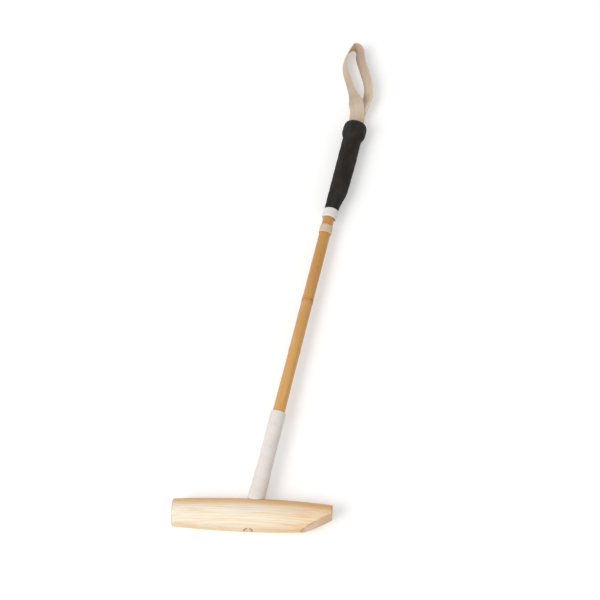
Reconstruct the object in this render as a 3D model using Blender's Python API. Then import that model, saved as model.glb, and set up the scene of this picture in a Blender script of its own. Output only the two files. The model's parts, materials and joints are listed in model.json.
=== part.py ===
# Foot polo mallet, lying on its side as it does on a table. Metres, +Z up.
# The head runs along X with its bevelled heel at +X. The cane runs away along +Y and leans
# towards the heel, and the sole faces -Y. The belly of the head and the butt knob touch z = 0.
# On the handle, a station is a distance along the cane from where its axis passes the head's.
import math

import bmesh
import bpy
from mathutils import Vector

# Gap kept between pieces that touch, wider where a square edge meets the round of the head
# and where webbing passes through a slot
CLEARANCE = 0.0003
SHOULDER_CLEARANCE = 0.0004
SLOT_CLEARANCE = 0.00045

# Head
OVERALL_LENGTH = 0.711
HEAD_LENGTH = 0.235
HEAD_BELLY_RADIUS = 0.0245
TOE_END_RADIUS = 0.0205
HEEL_END_RADIUS = 0.0190
TOE_EDGE_ROUND = 0.0030
HEEL_EDGE_ROUND = 0.0015
HEEL_BEVEL_ANGLE = math.radians(28.5)
HEEL_BEVEL_CROSSES_AXIS_AT = 0.114
SHAFT_LEAN = math.radians(11.16)

# Tenon through the head, drilled a little off the middle, and the wedge that spreads it
TENON_RAISE = 0.003
TENON_SOLE_RADIUS = 0.0072
TENON_TOP_RADIUS = 0.0073
WEDGE_DEPTH = 0.030
WEDGE_SOLE_THICKNESS = 0.0030
WEDGE_TIP_THICKNESS = 0.0009

# Cane
CANE_NECK_RADIUS = 0.0095
CANE_RADIUS = 0.0091
CANE_GRIP_RADIUS = 0.0083
CANE_NECK_SWELL_LENGTH = 0.050
CANE_SLIMS_OVER = 0.080
CANE_RING_STATIONS = (0.267, 0.3545)
CANE_RING_SWELL = 0.0004
CANE_RING_HALF_LENGTH = 0.007
CANE_END_BELOW_BUTT = 0.0215

# Tapes on the bare cane
NECK_TAPE_TOP = 0.163
NECK_BOTTOM_RADIUS = 0.0128
NECK_TOP_RADIUS = 0.0116
NECK_FLARE_LENGTH = 0.070
NECK_TAPE_THICKNESS = 0.0009
NECK_TAPE_LIP = 0.004
BAND_WIDTH = 0.0137
BAND_THICKNESS = 0.0007
BARE_CANE_ABOVE_BAND = 0.0149

# Handle
GRIP_LENGTH = 0.166
WHITE_TAPE_SHOWS = 0.0157
WHITE_TAPE_THICKNESS = 0.0022
BINDING_THICKNESS = 0.0006
WRAP_THICKNESS = 0.0012
WRAP_EDGE_THICKNESS = 0.0007
WRAP_EDGE_TAPER = 0.004
ELLIPSE_SQUARENESS = 2.0
HANDLE_SQUARENESS = 2.3
CORE_MARGIN = 0.0001
CHEEK_STARTS_AT = 0.0045

# How far the cheek stands out from the cane's axis, by the distance past the wrap's lower edge.
# It swells between the two distances named after it.
CHEEK_OUTLINE = (
    (-0.010, 0.0099), (0.004, 0.0099), (0.010, 0.0104), (0.020, 0.0126), (0.030, 0.0151),
    (0.039, 0.0164), (0.060, 0.0171), (0.097, 0.0179), (0.117, 0.0177))
SWELL_STARTS_AT = CHEEK_OUTLINE[1][0]
SWELL_ENDS_AT = CHEEK_OUTLINE[5][0]

# Butt knob, whose middle lies off the cane's axis
KNOB_LENGTH = 0.0310
KNOB_RADIUS = 0.0195
KNOB_OFFSET = 0.0051
KNOB_SHOULDER = 0.0130
KNOB_TOP_RADIUS = 0.0160
KNOB_TOP_ROUND = 0.0095
KNOB_SKIN = 0.0011
CAP_RADIUS = 0.0140
FUNNEL_LENGTH = 0.0155

# Sling webbing. The end of its stem is drawn wider, and strays to the toe side.
WEBBING_WIDTH = 0.0254
WEBBING_THICKNESS = 0.0017
TAIL_LENGTH = 0.119
HINGE_ABOVE_BUTT = 0.0030
STEM_LENGTH = 0.0345
STEM_END_SPREAD = 0.0036
STEM_END_STRAY = 0.0031
LOOP_ABOVE_FLOOR = 0.0010
LOOP_DROPS_OVER = 0.030
LOOP_LEAVES_SQUARE_OVER = 0.012

# Route of the loop from the stem's end and back: how far past that end it is, how far it strays
# to the heel side of the end's middle, and the turn of its width, 0 and 180 flat, 90 on edge
LOOP_ROUTE = (
    (0.0030, 0.0041, 5), (0.0110, 0.0064, 22), (0.0180, 0.0092, 38), (0.0250, 0.0102, 49),
    (0.0370, 0.0083, 57), (0.0545, 0.0033, 62), (0.0765, -0.0080, 64), (0.0945, -0.0170, 62),
    (0.1055, -0.0210, 58), (0.1128, -0.0243, 66), (0.1162, -0.0296, 77), (0.1157, -0.0348, 83),
    (0.1111, -0.0385, 92), (0.1035, -0.0414, 101), (0.0910, -0.0426, 104), (0.0760, -0.0412, 104),
    (0.0610, -0.0356, 102), (0.0470, -0.0279, 104), (0.0285, -0.0186, 110), (0.0145, -0.0121, 126),
    (0.0085, -0.0090, 148), (0.0050, -0.0065, 165), (0.0022, -0.0046, 178.5))

# Nails: tacks hold the sling's tails to the cane, brads hold the cheek
TACKS_ABOVE_TAIL_END = (0.012, 0.040)
BRADS_BELOW_BUTT = (0.046, 0.096)
TACK_HEAD_RADIUS = 0.0024
TACK_LENGTH = 0.0072
TACK_HEAD_SUNK = 0.00035
BRAD_HEAD_RADIUS = 0.0014
BRAD_LENGTH = 0.0150
BRAD_HEAD_SUNK = 0.0004
NAIL_SHANK_RADIUS = 0.0007
NAIL_POINT_RADIUS = 0.0002
NAIL_POINT_LENGTH = 0.0014
NAIL_HEAD_THICKNESS = 0.0005

# Sides and stations of the meshes
HEAD_STEPS = 40
HEAD_STATIONS_PER_HALF = 9
ROUND_STEPS = 24
OVAL_STEPS = 32
NAIL_STEPS = 10
STRAP_STEPS = 6
LOOP_STRAP_STEPS = 4
LOOP_STEPS_PER_SPAN = 2
FINE_STEP = 0.0062
COARSE_STEP = 0.024
LAST_STEP_STRETCH = 1.4

# Stations along the handle
BUTT_TOP = OVERALL_LENGTH - HEAD_BELLY_RADIUS
GRIP_LOW = BUTT_TOP - GRIP_LENGTH
WHITE_LOW = GRIP_LOW - WHITE_TAPE_SHOWS
BAND_HIGH = WHITE_LOW - BARE_CANE_ABOVE_BAND
KNOB_LOW = BUTT_TOP - KNOB_LENGTH
CANE_END = BUTT_TOP - CANE_END_BELOW_BUTT
FUNNEL_HIGH = CANE_END + FUNNEL_LENGTH
TAIL_LOW = CANE_END - TAIL_LENGTH
STEM_HINGE = BUTT_TOP + HINGE_ABOVE_BUTT
FOLD_HINGE = STEM_HINGE + STEM_LENGTH

# Half of the stem, which is the webbing twice over
STEM_HALF = WEBBING_THICKNESS + CLEARANCE / 2

# Depth under the wrap at which the core of cane, cheek and tails lies
WRAP_BASE = CLEARANCE + BINDING_THICKNESS + CLEARANCE


def clear_scene():
    for obj in list(bpy.data.objects):
        bpy.data.objects.remove(obj)


def make_material(name, colour, roughness, metallic=0.0):
    material = bpy.data.materials.new(name)
    material.use_nodes = True
    shader = material.node_tree.nodes["Principled BSDF"]
    shader.inputs["Base Color"].default_value = (*colour, 1.0)
    shader.inputs["Roughness"].default_value = roughness
    shader.inputs["Metallic"].default_value = metallic
    return material


def add_object(name, bm, material, parent):
    mesh = bpy.data.meshes.new(name)
    bmesh.ops.recalc_face_normals(bm, faces=bm.faces)
    bm.to_mesh(mesh)
    bm.free()
    mesh.shade_smooth()
    mesh.set_sharp_from_angle(angle=math.radians(35))
    if material:
        mesh.materials.append(material)
    obj = bpy.data.objects.new(name, mesh)
    bpy.context.scene.collection.objects.link(obj)
    obj.parent = parent
    return obj


def add_cutter(name, bm, parent):
    cutter = add_object(name, bm, None, parent)
    cutter.hide_render = True
    cutter.display_type = "WIRE"
    return cutter


def add_empty(name, parent=None):
    empty = bpy.data.objects.new(name, None)
    bpy.context.scene.collection.objects.link(empty)
    empty.parent = parent
    return empty


def cut(obj, *cutters):
    for cutter in cutters:
        modifier = obj.modifiers.new(cutter.name, "BOOLEAN")
        modifier.operation = "DIFFERENCE"
        modifier.solver = "EXACT"
        modifier.object = cutter


# Shapes

def skin_rings(rings, cyclic=False):
    # Each ring is a closed loop of points. Cyclic rings close on themselves, others get caps.
    bm = bmesh.new()
    loops = [[bm.verts.new(point) for point in ring] for ring in rings]
    count = len(loops[0])
    pairs = list(zip(loops, loops[1:]))
    if cyclic:
        pairs.append((loops[-1], loops[0]))
    for low, high in pairs:
        for i in range(count):
            j = (i + 1) % count
            bm.faces.new((low[i], low[j], high[j], high[i]))
    if not cyclic:
        for loop in (loops[0], loops[-1]):
            close_end(bm, loop)
    return bm


def close_end(bm, loop):
    # Strips between opposite points, so that a curved end keeps its shape
    half = len(loop) // 2
    bm.faces.new((loop[0], loop[1], loop[-1]))
    for i in range(1, half - 1):
        bm.faces.new((loop[i], loop[i + 1], loop[-i - 1], loop[-i]))
    bm.faces.new((loop[half - 1], loop[half], loop[half + 1]))


def close_strap_end(bm, loop):
    # The two faces of a strap have their points opposite each other
    half = len(loop) // 2
    for i in range(half - 1):
        bm.faces.new((loop[i], loop[i + 1], loop[-i - 2], loop[-i - 1]))


def skin_strap(rings):
    bm = bmesh.new()
    loops = [[bm.verts.new(point) for point in ring] for ring in rings]
    count = len(loops[0])
    for low, high in zip(loops, loops[1:]):
        for i in range(count):
            j = (i + 1) % count
            bm.faces.new((low[i], low[j], high[j], high[i]))
    close_strap_end(bm, loops[0])
    close_strap_end(bm, loops[-1])
    return bm


def round_ring(radius, station, middle=0.0, steps=ROUND_STEPS, seat=None):
    # A seat is a function that gives the station of each point of the ring
    points = []
    for i in range(steps):
        angle = 2 * math.pi * i / steps
        x = middle + radius * math.cos(angle)
        z = radius * math.sin(angle)
        points.append((x, seat(x, z) if seat else station, z))
    return points


def signed_power(value, power):
    return math.copysign(abs(value) ** power, value)


def oval_ring(station, half_width, half_depth, squareness, middle):
    points = []
    for i in range(OVAL_STEPS):
        angle = 2 * math.pi * i / OVAL_STEPS
        x = middle + half_width * signed_power(math.cos(angle), 2 / squareness)
        z = half_depth * signed_power(math.sin(angle), 2 / squareness)
        points.append((x, station, z))
    return points


def smooth_step(value, low, high):
    share = min(max((value - low) / (high - low), 0.0), 1.0)
    return share * share * (3 - 2 * share)


def blend(start, end, share):
    return start + (end - start) * share


def curve_through(table, value):
    # A smooth curve through the table's points, level beyond its ends
    if value <= table[0][0]:
        return table[0][1]
    if value >= table[-1][0]:
        return table[-1][1]
    i = max(k for k in range(len(table) - 1) if table[k][0] <= value)

    def slope(k):
        before, after = table[max(k - 1, 0)], table[min(k + 1, len(table) - 1)]
        return (after[1] - before[1]) / (after[0] - before[0])

    (low, start), (high, end) = table[i], table[i + 1]
    span = high - low
    t = (value - low) / span
    return (start * (1 + 2 * t) * (1 - t) ** 2 + end * t * t * (3 - 2 * t)
            + slope(i) * span * t * (1 - t) ** 2 - slope(i + 1) * span * t * t * (1 - t))


# Sizes that follow a rule

def head_radius(x):
    end_radius = TOE_END_RADIUS if x < 0 else HEEL_END_RADIUS
    share = abs(x) / (HEAD_LENGTH / 2)
    return HEAD_BELLY_RADIUS - (HEAD_BELLY_RADIUS - end_radius) * share ** 2


def head_end_profile(side, edge_round):
    # From the middle of the belly out to one end, round its edge, to the axis
    half = HEAD_LENGTH / 2
    straight = half - edge_round
    points = []
    for i in range(HEAD_STATIONS_PER_HALF + 1):
        x = straight * i / HEAD_STATIONS_PER_HALF
        points.append((side * x, head_radius(side * x)))
    middle = head_radius(side * straight) - edge_round
    for degrees in (30, 60, 90):
        angle = math.radians(degrees)
        x = straight + edge_round * math.sin(angle)
        points.append((side * x, middle + edge_round * math.cos(angle)))
    return points


def barrel_station(x, z, side, gap=0.0):
    # Where a line along the cane, x beside its axis and z above it, leaves the barrel.
    # Side is 1 at the top of the head and -1 at the sole.
    station = side * HEAD_BELLY_RADIUS
    lean, across = math.sin(SHAFT_LEAN), math.cos(SHAFT_LEAN)
    for _ in range(4):
        radius = head_radius(station * lean + x * across) + gap
        depth = math.sqrt(radius ** 2 - (z + TENON_RAISE) ** 2)
        station = (x * lean + side * depth) / across
    return station


def sole_seat(x, z):
    return barrel_station(x, z, -1)


def shoulder_seat(x, z):
    return barrel_station(x, z, 1, gap=SHOULDER_CLEARANCE)


def tenon_radius(station):
    share = (station + HEAD_BELLY_RADIUS) / (2 * HEAD_BELLY_RADIUS)
    return blend(TENON_SOLE_RADIUS, TENON_TOP_RADIUS, share)


def cane_radius(station):
    if station <= HEAD_BELLY_RADIUS:
        return tenon_radius(station)
    swell = smooth_step(station, HEAD_BELLY_RADIUS, HEAD_BELLY_RADIUS + CANE_NECK_SWELL_LENGTH)
    radius = blend(TENON_TOP_RADIUS, CANE_NECK_RADIUS, swell)
    slim = smooth_step(station, NECK_TAPE_TOP, NECK_TAPE_TOP + CANE_SLIMS_OVER)
    radius += (CANE_RADIUS - CANE_NECK_RADIUS) * slim
    radius += (CANE_GRIP_RADIUS - CANE_RADIUS) * smooth_step(station, WHITE_LOW, GRIP_LOW)
    for ring in CANE_RING_STATIONS:
        reach = abs(station - ring) / CANE_RING_HALF_LENGTH
        if reach < 1:
            radius += CANE_RING_SWELL * (1 - reach ** 2) ** 2
    return radius


def neck_radius(station):
    flare = 1 - smooth_step(station, HEAD_BELLY_RADIUS, HEAD_BELLY_RADIUS + NECK_FLARE_LENGTH)
    return blend(NECK_TOP_RADIUS, NECK_BOTTOM_RADIUS, flare)


def core_size(station):
    # Oval of the cane, the cheek beside it and the webbing on its faces: its reach to the left
    # and right of the cane's axis, its half depth, and its squareness, 2 on an ellipse
    cane = cane_radius(station)
    right = curve_through(CHEEK_OUTLINE, station - GRIP_LOW)
    full = smooth_step(station, GRIP_LOW + SWELL_STARTS_AT, TAIL_LOW + CLEARANCE)
    depth = cane + CLEARANCE + WEBBING_THICKNESS * full
    squareness = blend(ELLIPSE_SQUARENESS, HANDLE_SQUARENESS, full)
    return cane + CORE_MARGIN, right, depth, squareness


def core_ring(station, grow):
    left, right, depth, squareness = core_size(station)
    return oval_ring(station, (left + right) / 2 + grow, depth + grow, squareness,
                     (right - left) / 2)


def knob_ring(station, grow, radius):
    # Between the handle's oval and the knob's circle
    left, right, depth, squareness = core_size(station)
    share = smooth_step(station, KNOB_LOW, KNOB_LOW + KNOB_SHOULDER)
    return oval_ring(station, blend((left + right) / 2 + grow, radius, share),
                     blend(depth + grow, radius, share),
                     blend(squareness, ELLIPSE_SQUARENESS, share),
                     blend((right - left) / 2, KNOB_OFFSET, share))


def knob_rings(grow, depth_in_skin):
    # A surface that lies some depth under the outside of the knob, from its shoulder to its top
    rings = []
    for i in range(1, 5):
        station = KNOB_LOW + KNOB_SHOULDER * i / 4
        rings.append(knob_ring(station, grow, KNOB_RADIUS - depth_in_skin))
    edge = KNOB_RADIUS - depth_in_skin - KNOB_TOP_RADIUS
    top_round = KNOB_TOP_ROUND - depth_in_skin
    for degrees in (0, 25, 45, 65, 90):
        angle = math.radians(degrees)
        station = BUTT_TOP - depth_in_skin - top_round * (1 - math.sin(angle))
        radius = KNOB_TOP_RADIUS + edge * math.cos(angle)
        rings.append(round_ring(radius, station, KNOB_OFFSET, OVAL_STEPS))
    return rings


def handle_stations(low, high):
    # Close together where the handle swells, further apart above
    stations = [low]
    while True:
        step = FINE_STEP if stations[-1] < GRIP_LOW + SWELL_ENDS_AT else COARSE_STEP
        if stations[-1] + LAST_STEP_STRETCH * step > high:
            return stations + [high]
        stations.append(stations[-1] + step)


def oval_walk(distance, half_width, half_depth, squareness):
    # The point at a distance round an oval from its top, and the way that the oval faces there
    x, z, walked, steps = 0.0, half_depth, 0.0, 90
    for i in range(1, steps + 1):
        angle = math.pi / 2 * (1 - i / steps)
        next_x = half_width * max(math.cos(angle), 0.0) ** (2 / squareness)
        next_z = half_depth * max(math.sin(angle), 0.0) ** (2 / squareness)
        stride = math.hypot(next_x - x, next_z - z)
        if walked + stride >= abs(distance):
            share = (abs(distance) - walked) / stride
            x, z = blend(x, next_x, share), blend(z, next_z, share)
            break
        x, z, walked = next_x, next_z, walked + stride
    facing = Vector(((x / half_width) ** (squareness - 1) / half_width,
                     (z / half_depth) ** (squareness - 1) / half_depth)).normalized()
    side = math.copysign(1.0, distance)
    return Vector((side * x, z)), Vector((side * facing.x, facing.y))


def tail_point(across, depth, station, side):
    # A tail hugs the core up to the cane's end, then turns flat and meets its twin at the slot
    left, right, half_depth, squareness = core_size(station)
    point, facing = oval_walk(across, (left + right) / 2, half_depth, squareness)
    hugging = point - facing * depth + Vector(((right - left) / 2, 0.0))
    flat = Vector((KNOB_OFFSET + across, STEM_HALF - depth))
    place = hugging.lerp(flat, smooth_step(station, CANE_END, FUNNEL_HIGH))
    return (place.x, station, side * place.y)


def across_strap(width, steps):
    return [width * (i / steps - 0.5) for i in range(steps + 1)]


def tail_ring(station, side, grow=0.0, above=0.0):
    across = across_strap(WEBBING_WIDTH + 2 * grow, STRAP_STEPS)
    outer = [tail_point(a, -above, station, side) for a in across]
    inner = [tail_point(a, WEBBING_THICKNESS + grow, station, side) for a in reversed(across)]
    return outer + inner


def axis_height(station, x):
    # Height of the cane's axis over the floor, at a station and x beside it
    along = station * math.cos(SHAFT_LEAN) - x * math.sin(SHAFT_LEAN)
    pitch = rest_pitch()
    return (HEAD_BELLY_RADIUS - along * math.sin(pitch)) / math.cos(pitch) + TENON_RAISE


def rest_pitch():
    # How far the butt dips for the belly of the head and the knob both to touch the floor
    far = BUTT_TOP - KNOB_TOP_ROUND
    reach = far * math.cos(SHAFT_LEAN) - KNOB_OFFSET * math.sin(SHAFT_LEAN)
    drop = KNOB_RADIUS - TENON_RAISE
    return math.asin(HEAD_BELLY_RADIUS / math.hypot(reach, drop)) - math.atan2(drop, reach)


# Pieces of the head

def build_head(mallet, handle):
    toe = head_end_profile(-1, TOE_EDGE_ROUND)
    heel = head_end_profile(1, HEEL_EDGE_ROUND)
    profile = toe[::-1] + heel[1:]
    rings = []
    for x, radius in profile:
        ring = round_ring(radius, 0.0, steps=HEAD_STEPS)
        rings.append([(x, y, z) for y, _, z in ring])
    bm = skin_rings(rings)
    bisect_heel(bm)
    head = add_object("head", bm, make_material("head_wood", (0.86, 0.74, 0.55), 0.5), mallet)
    reach = HEAD_BELLY_RADIUS + WEDGE_DEPTH / 2
    bore = [round_ring(tenon_radius(s) + CLEARANCE, s) for s in (-reach, reach)]
    cut(head, add_cutter("tenon_bore", skin_rings(bore), handle))
    return head


def bisect_heel(bm):
    facing = Vector((math.sin(HEEL_BEVEL_ANGLE), -math.cos(HEEL_BEVEL_ANGLE), 0))
    geometry = bm.verts[:] + bm.edges[:] + bm.faces[:]
    result = bmesh.ops.bisect_plane(bm, geom=geometry, dist=1e-7, clear_outer=True,
                                    plane_co=(HEEL_BEVEL_CROSSES_AXIS_AT, 0, 0), plane_no=facing)
    rim = [item for item in result["geom_cut"] if isinstance(item, bmesh.types.BMEdge)]
    bmesh.ops.edgeloop_fill(bm, edges=rim)


def wedge_ring(station, grow=0.0, overhang=0.0):
    share = (station + HEAD_BELLY_RADIUS) / WEDGE_DEPTH
    half = blend(WEDGE_SOLE_THICKNESS, WEDGE_TIP_THICKNESS, share) / 2 + grow
    reach = math.sqrt(tenon_radius(station) ** 2 - half ** 2) + overhang
    heights = [reach * (i / 3 - 1) for i in range(7)]
    return [(half, station, z) for z in heights] + [(-half, station, z) for z in reversed(heights)]


def build_head_wedge(handle):
    low, high = -HEAD_BELLY_RADIUS, WEDGE_DEPTH - HEAD_BELLY_RADIUS
    sole = [(x, sole_seat(x, z), z) for x, _, z in wedge_ring(low)]
    above_sole = blend(low, high, 0.3)
    bm = skin_strap([sole, wedge_ring(above_sole), wedge_ring(high)])
    return add_object("head_wedge", bm, make_material("wedge_wood", (0.80, 0.65, 0.44), 0.55), handle)


def wedge_slot(handle):
    low = -HEAD_BELLY_RADIUS - WEDGE_DEPTH / 3
    high = WEDGE_DEPTH - HEAD_BELLY_RADIUS + CLEARANCE
    rings = [wedge_ring(s, CLEARANCE, overhang=WEDGE_SOLE_THICKNESS) for s in (low, high)]
    return add_cutter("wedge_slot", skin_strap(rings), handle)


# The cane and what is wound on it below the handle

def cane_stations():
    neck_high = HEAD_BELLY_RADIUS + CANE_NECK_SWELL_LENGTH
    stations = [blend(HEAD_BELLY_RADIUS, neck_high, i / 5) for i in range(6)]
    stations += [NECK_TAPE_TOP + CANE_SLIMS_OVER * i / 3 for i in range(4)]
    for ring in CANE_RING_STATIONS:
        stations += [ring + CANE_RING_HALF_LENGTH * i / 3 for i in (-3, -2, -1, 0, 1, 2, 3)]
    stations += [blend(WHITE_LOW, GRIP_LOW, i / 3) for i in range(4)]
    spaced = [-HEAD_BELLY_RADIUS / 2]
    for station in sorted(stations):
        if station - spaced[-1] > CLEARANCE:
            spaced.append(station)
    return spaced + [CANE_END]


def build_cane(handle, cutters):
    rings = [round_ring(TENON_SOLE_RADIUS, 0.0, seat=sole_seat)]
    rings += [round_ring(cane_radius(s), s) for s in cane_stations()]
    cane = add_object("cane", skin_rings(rings), make_material("rattan", (0.60, 0.33, 0.11), 0.38), handle)
    cut(cane, wedge_slot(handle), *cutters)
    return cane


def neck_stations(high):
    # From just above the head's shoulder up to a station
    low = HEAD_BELLY_RADIUS + NECK_BOTTOM_RADIUS / 2
    flare_high = HEAD_BELLY_RADIUS + NECK_FLARE_LENGTH
    return [blend(low, flare_high, i / 5) for i in range(6)] + [high]


def build_neck_binding(handle):
    stations = neck_stations(NECK_TAPE_TOP - NECK_TAPE_LIP)

    def outside(station):
        return neck_radius(station) - NECK_TAPE_THICKNESS - CLEARANCE

    outer = [round_ring(outside(HEAD_BELLY_RADIUS), 0.0, seat=shoulder_seat)]
    outer += [round_ring(outside(s), s) for s in stations]
    inner = [round_ring(cane_radius(HEAD_BELLY_RADIUS) + CLEARANCE, 0.0, seat=shoulder_seat)]
    inner += [round_ring(cane_radius(s) + CLEARANCE, s) for s in stations]
    bm = skin_rings(outer + inner[::-1], cyclic=True)
    return add_object("neck_binding", bm, make_material("binding_cord", (0.62, 0.55, 0.42), 0.9), handle)


def build_neck_tape(handle):
    lip_low = NECK_TAPE_TOP - NECK_TAPE_LIP + CLEARANCE
    stations = neck_stations(lip_low)
    outer = [round_ring(NECK_BOTTOM_RADIUS, 0.0, seat=shoulder_seat)]
    outer += [round_ring(neck_radius(s), s) for s in stations[:-1]]
    rounded = NECK_TAPE_THICKNESS / 2
    outer += [round_ring(NECK_TOP_RADIUS, NECK_TAPE_TOP - rounded)]
    outer += [round_ring(NECK_TOP_RADIUS - rounded, NECK_TAPE_TOP)]
    inner = [round_ring(NECK_BOTTOM_RADIUS - NECK_TAPE_THICKNESS, 0.0, seat=shoulder_seat)]
    inner += [round_ring(neck_radius(s) - NECK_TAPE_THICKNESS, s) for s in stations]
    inner += [round_ring(cane_radius(s) + CLEARANCE, s) for s in (lip_low, NECK_TAPE_TOP)]
    bm = skin_rings(outer + inner[::-1], cyclic=True)
    return add_object("neck_tape", bm, make_material("neck_cloth", (0.66, 0.62, 0.55), 0.8), handle)


def build_upper_tape_band(handle):
    low = BAND_HIGH - BAND_WIDTH
    outer = [round_ring(cane_radius(s) + CLEARANCE + BAND_THICKNESS, s) for s in (low, BAND_HIGH)]
    inner = [round_ring(cane_radius(s) + CLEARANCE, s) for s in (low, BAND_HIGH)]
    bm = skin_rings(outer + inner[::-1], cyclic=True)
    return add_object("upper_tape_band", bm, make_material("band_cloth", (0.62, 0.46, 0.34), 0.75), handle)


# The handle

def build_handle_cheek(handle, cutters):
    rings = [core_ring(s, 0.0) for s in handle_stations(WHITE_LOW + CLEARANCE, CANE_END)]
    cheek = add_object("handle_cheek", skin_rings(rings),
                       make_material("cheek_wood", (0.55, 0.38, 0.22), 0.6), handle)
    low, high = WHITE_LOW - BAND_WIDTH, CANE_END + BAND_WIDTH
    cane_rings = [round_ring(cane_radius(s) + CLEARANCE, s) for s in (low, WHITE_LOW)]
    cane_rings += [round_ring(cane_radius(blend(WHITE_LOW, GRIP_LOW, i / 3)) + CLEARANCE,
                              blend(WHITE_LOW, GRIP_LOW, i / 3)) for i in (1, 2, 3)]
    cane_rings.append(round_ring(CANE_GRIP_RADIUS + CLEARANCE, high))
    block = [[(x, s, z) for x, z in ((CHEEK_STARTS_AT, -KNOB_RADIUS), (CHEEK_STARTS_AT, KNOB_RADIUS),
                                     (-KNOB_RADIUS, KNOB_RADIUS), (-KNOB_RADIUS, -KNOB_RADIUS))]
             for s in (low, high)]
    cut(cheek, add_cutter("cheek_hollow", skin_rings(cane_rings), handle),
        add_cutter("cheek_side", skin_strap(block), handle), *cutters)
    return cheek


def build_sling_tail(name, handle, side, cutters):
    stations = handle_stations(TAIL_LOW, CANE_END)
    stations += [blend(CANE_END, FUNNEL_HIGH, i / 6) for i in range(1, 7)]
    stations.append(STEM_HINGE - STEM_HALF - CLEARANCE)
    bm = skin_strap([tail_ring(s, side) for s in stations])
    tail = add_object(name, bm, make_material(name + "_cotton", (0.60, 0.46, 0.32), 0.9), handle)
    cut(tail, *cutters)
    return tail


def tail_recess(name, handle, side):
    # Where the cane and the cheek are cut flat for the webbing
    stations = handle_stations(TAIL_LOW - CLEARANCE, CANE_END)
    stations.append(CANE_END + CLEARANCE)
    rings = [tail_ring(s, side, grow=CLEARANCE, above=WEBBING_THICKNESS) for s in stations]
    return add_cutter(name, skin_strap(rings), handle)


def build_handle_binding(handle):
    high = CANE_END - CLEARANCE
    step = GRIP_LOW - CLEARANCE
    thick, thin = CLEARANCE + WHITE_TAPE_THICKNESS, CLEARANCE + BINDING_THICKNESS
    outer = [core_ring(WHITE_LOW, thin), core_ring(WHITE_LOW + WHITE_TAPE_THICKNESS, thick)]
    outer += [core_ring(blend(WHITE_LOW, GRIP_LOW, 0.5), thick), core_ring(step, thick)]
    outer += [core_ring(s, thin) for s in handle_stations(step, high)]
    inner = [core_ring(s, CLEARANCE) for s in (WHITE_LOW, blend(WHITE_LOW, GRIP_LOW, 0.5))]
    inner += [core_ring(s, CLEARANCE) for s in handle_stations(step, high)]
    bm = skin_rings(outer + inner[::-1], cyclic=True)
    return add_object("handle_binding", bm, make_material("white_cotton", (0.80, 0.76, 0.72), 0.85), handle)


def build_grip_wrap(handle):
    outer, inner = [], []
    taper_high = GRIP_LOW + WRAP_EDGE_TAPER
    for s in [GRIP_LOW] + handle_stations(taper_high, KNOB_LOW):
        full = smooth_step(s, GRIP_LOW, taper_high)
        thickness = blend(WRAP_EDGE_THICKNESS, WRAP_THICKNESS, full)
        outer.append(core_ring(s, WRAP_BASE + thickness))
        inner.append(core_ring(s, WRAP_BASE))
    outer += knob_rings(WRAP_BASE + WRAP_THICKNESS, 0.0)
    inner += knob_rings(WRAP_BASE, KNOB_SKIN)
    lip = CAP_RADIUS + CLEARANCE
    outer.append(round_ring(lip, BUTT_TOP, KNOB_OFFSET, OVAL_STEPS))
    inner.append(round_ring(lip, BUTT_TOP - KNOB_SKIN, KNOB_OFFSET, OVAL_STEPS))
    bm = skin_rings(outer + inner[::-1], cyclic=True)
    return add_object("grip_wrap", bm, make_material("black_wrap", (0.028, 0.024, 0.023), 0.8), handle)


# The butt

def slot_cutter(handle):
    # Room for both tails, from the cane's end out through the top of the butt
    across = across_strap(WEBBING_WIDTH + 2 * CLEARANCE, STRAP_STEPS)
    stations = [CANE_END + CLEARANCE]
    stations += [blend(CANE_END, FUNNEL_HIGH, i / 6) for i in range(1, 7)]
    stations.append(BUTT_TOP + KNOB_SKIN)
    rings = []
    for s in stations:
        front = [tail_point(a, -SLOT_CLEARANCE, s, 1) for a in across]
        back = [tail_point(a, -SLOT_CLEARANCE, s, -1) for a in reversed(across)]
        rings.append(front + back)
    return add_cutter("webbing_slot", skin_strap(rings), handle)


def build_knob_core(handle, slot):
    depth = KNOB_SKIN + CLEARANCE
    bm = skin_rings(knob_rings(WRAP_BASE - CLEARANCE, depth))
    core = add_object("knob_core", bm, make_material("knob_wood", (0.50, 0.36, 0.22), 0.7), handle)
    low, high = KNOB_LOW - KNOB_SHOULDER, CANE_END + 2 * CLEARANCE
    bore = [core_ring(s, WRAP_BASE) for s in (low, KNOB_LOW, high)]
    cut(core, add_cutter("knob_bore", skin_rings(bore), handle), slot)
    return core


def build_butt_cap(handle, slot):
    rings = [round_ring(CAP_RADIUS, s, KNOB_OFFSET, OVAL_STEPS) for s in (BUTT_TOP - KNOB_SKIN, BUTT_TOP)]
    cap = add_object("butt_cap", skin_rings(rings), make_material("cap_rubber", (0.03, 0.027, 0.025), 0.7),
                     handle)
    cut(cap, slot)
    return cap


# The sling outside the butt

def build_sling_stem(pivot):
    # Drawn from its hinge along +Y. Its near end is round, so that it clears the tails.
    end = STEM_LENGTH - STEM_HALF - CLEARANCE
    outline = []
    for i in range(7):
        angle = math.pi / 2 + math.pi * i / 6
        outline.append((STEM_HALF * math.cos(angle), STEM_HALF * math.sin(angle)))
    outline += [(end, -STEM_HALF), (end, STEM_HALF)]
    rings = []
    for side in (-1, 1):
        ring = []
        for y, z in outline:
            share = (y + STEM_HALF) / (end + STEM_HALF)
            half_width = WEBBING_WIDTH / 2 + STEM_END_SPREAD * share
            ring.append((side * half_width - STEM_END_STRAY * share, y, z))
        rings.append(ring)
    bm = bmesh.new()
    loops = [[bm.verts.new(point) for point in ring] for ring in rings]
    count = len(outline)
    for i in range(count):
        j = (i + 1) % count
        bm.faces.new((loops[0][i], loops[0][j], loops[1][j], loops[1][i]))
    for loop in loops:
        bm.faces.new(loop)
    return add_object("sling_stem", bm, make_material("stem_cotton", (0.60, 0.46, 0.32), 0.9), pivot)


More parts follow.
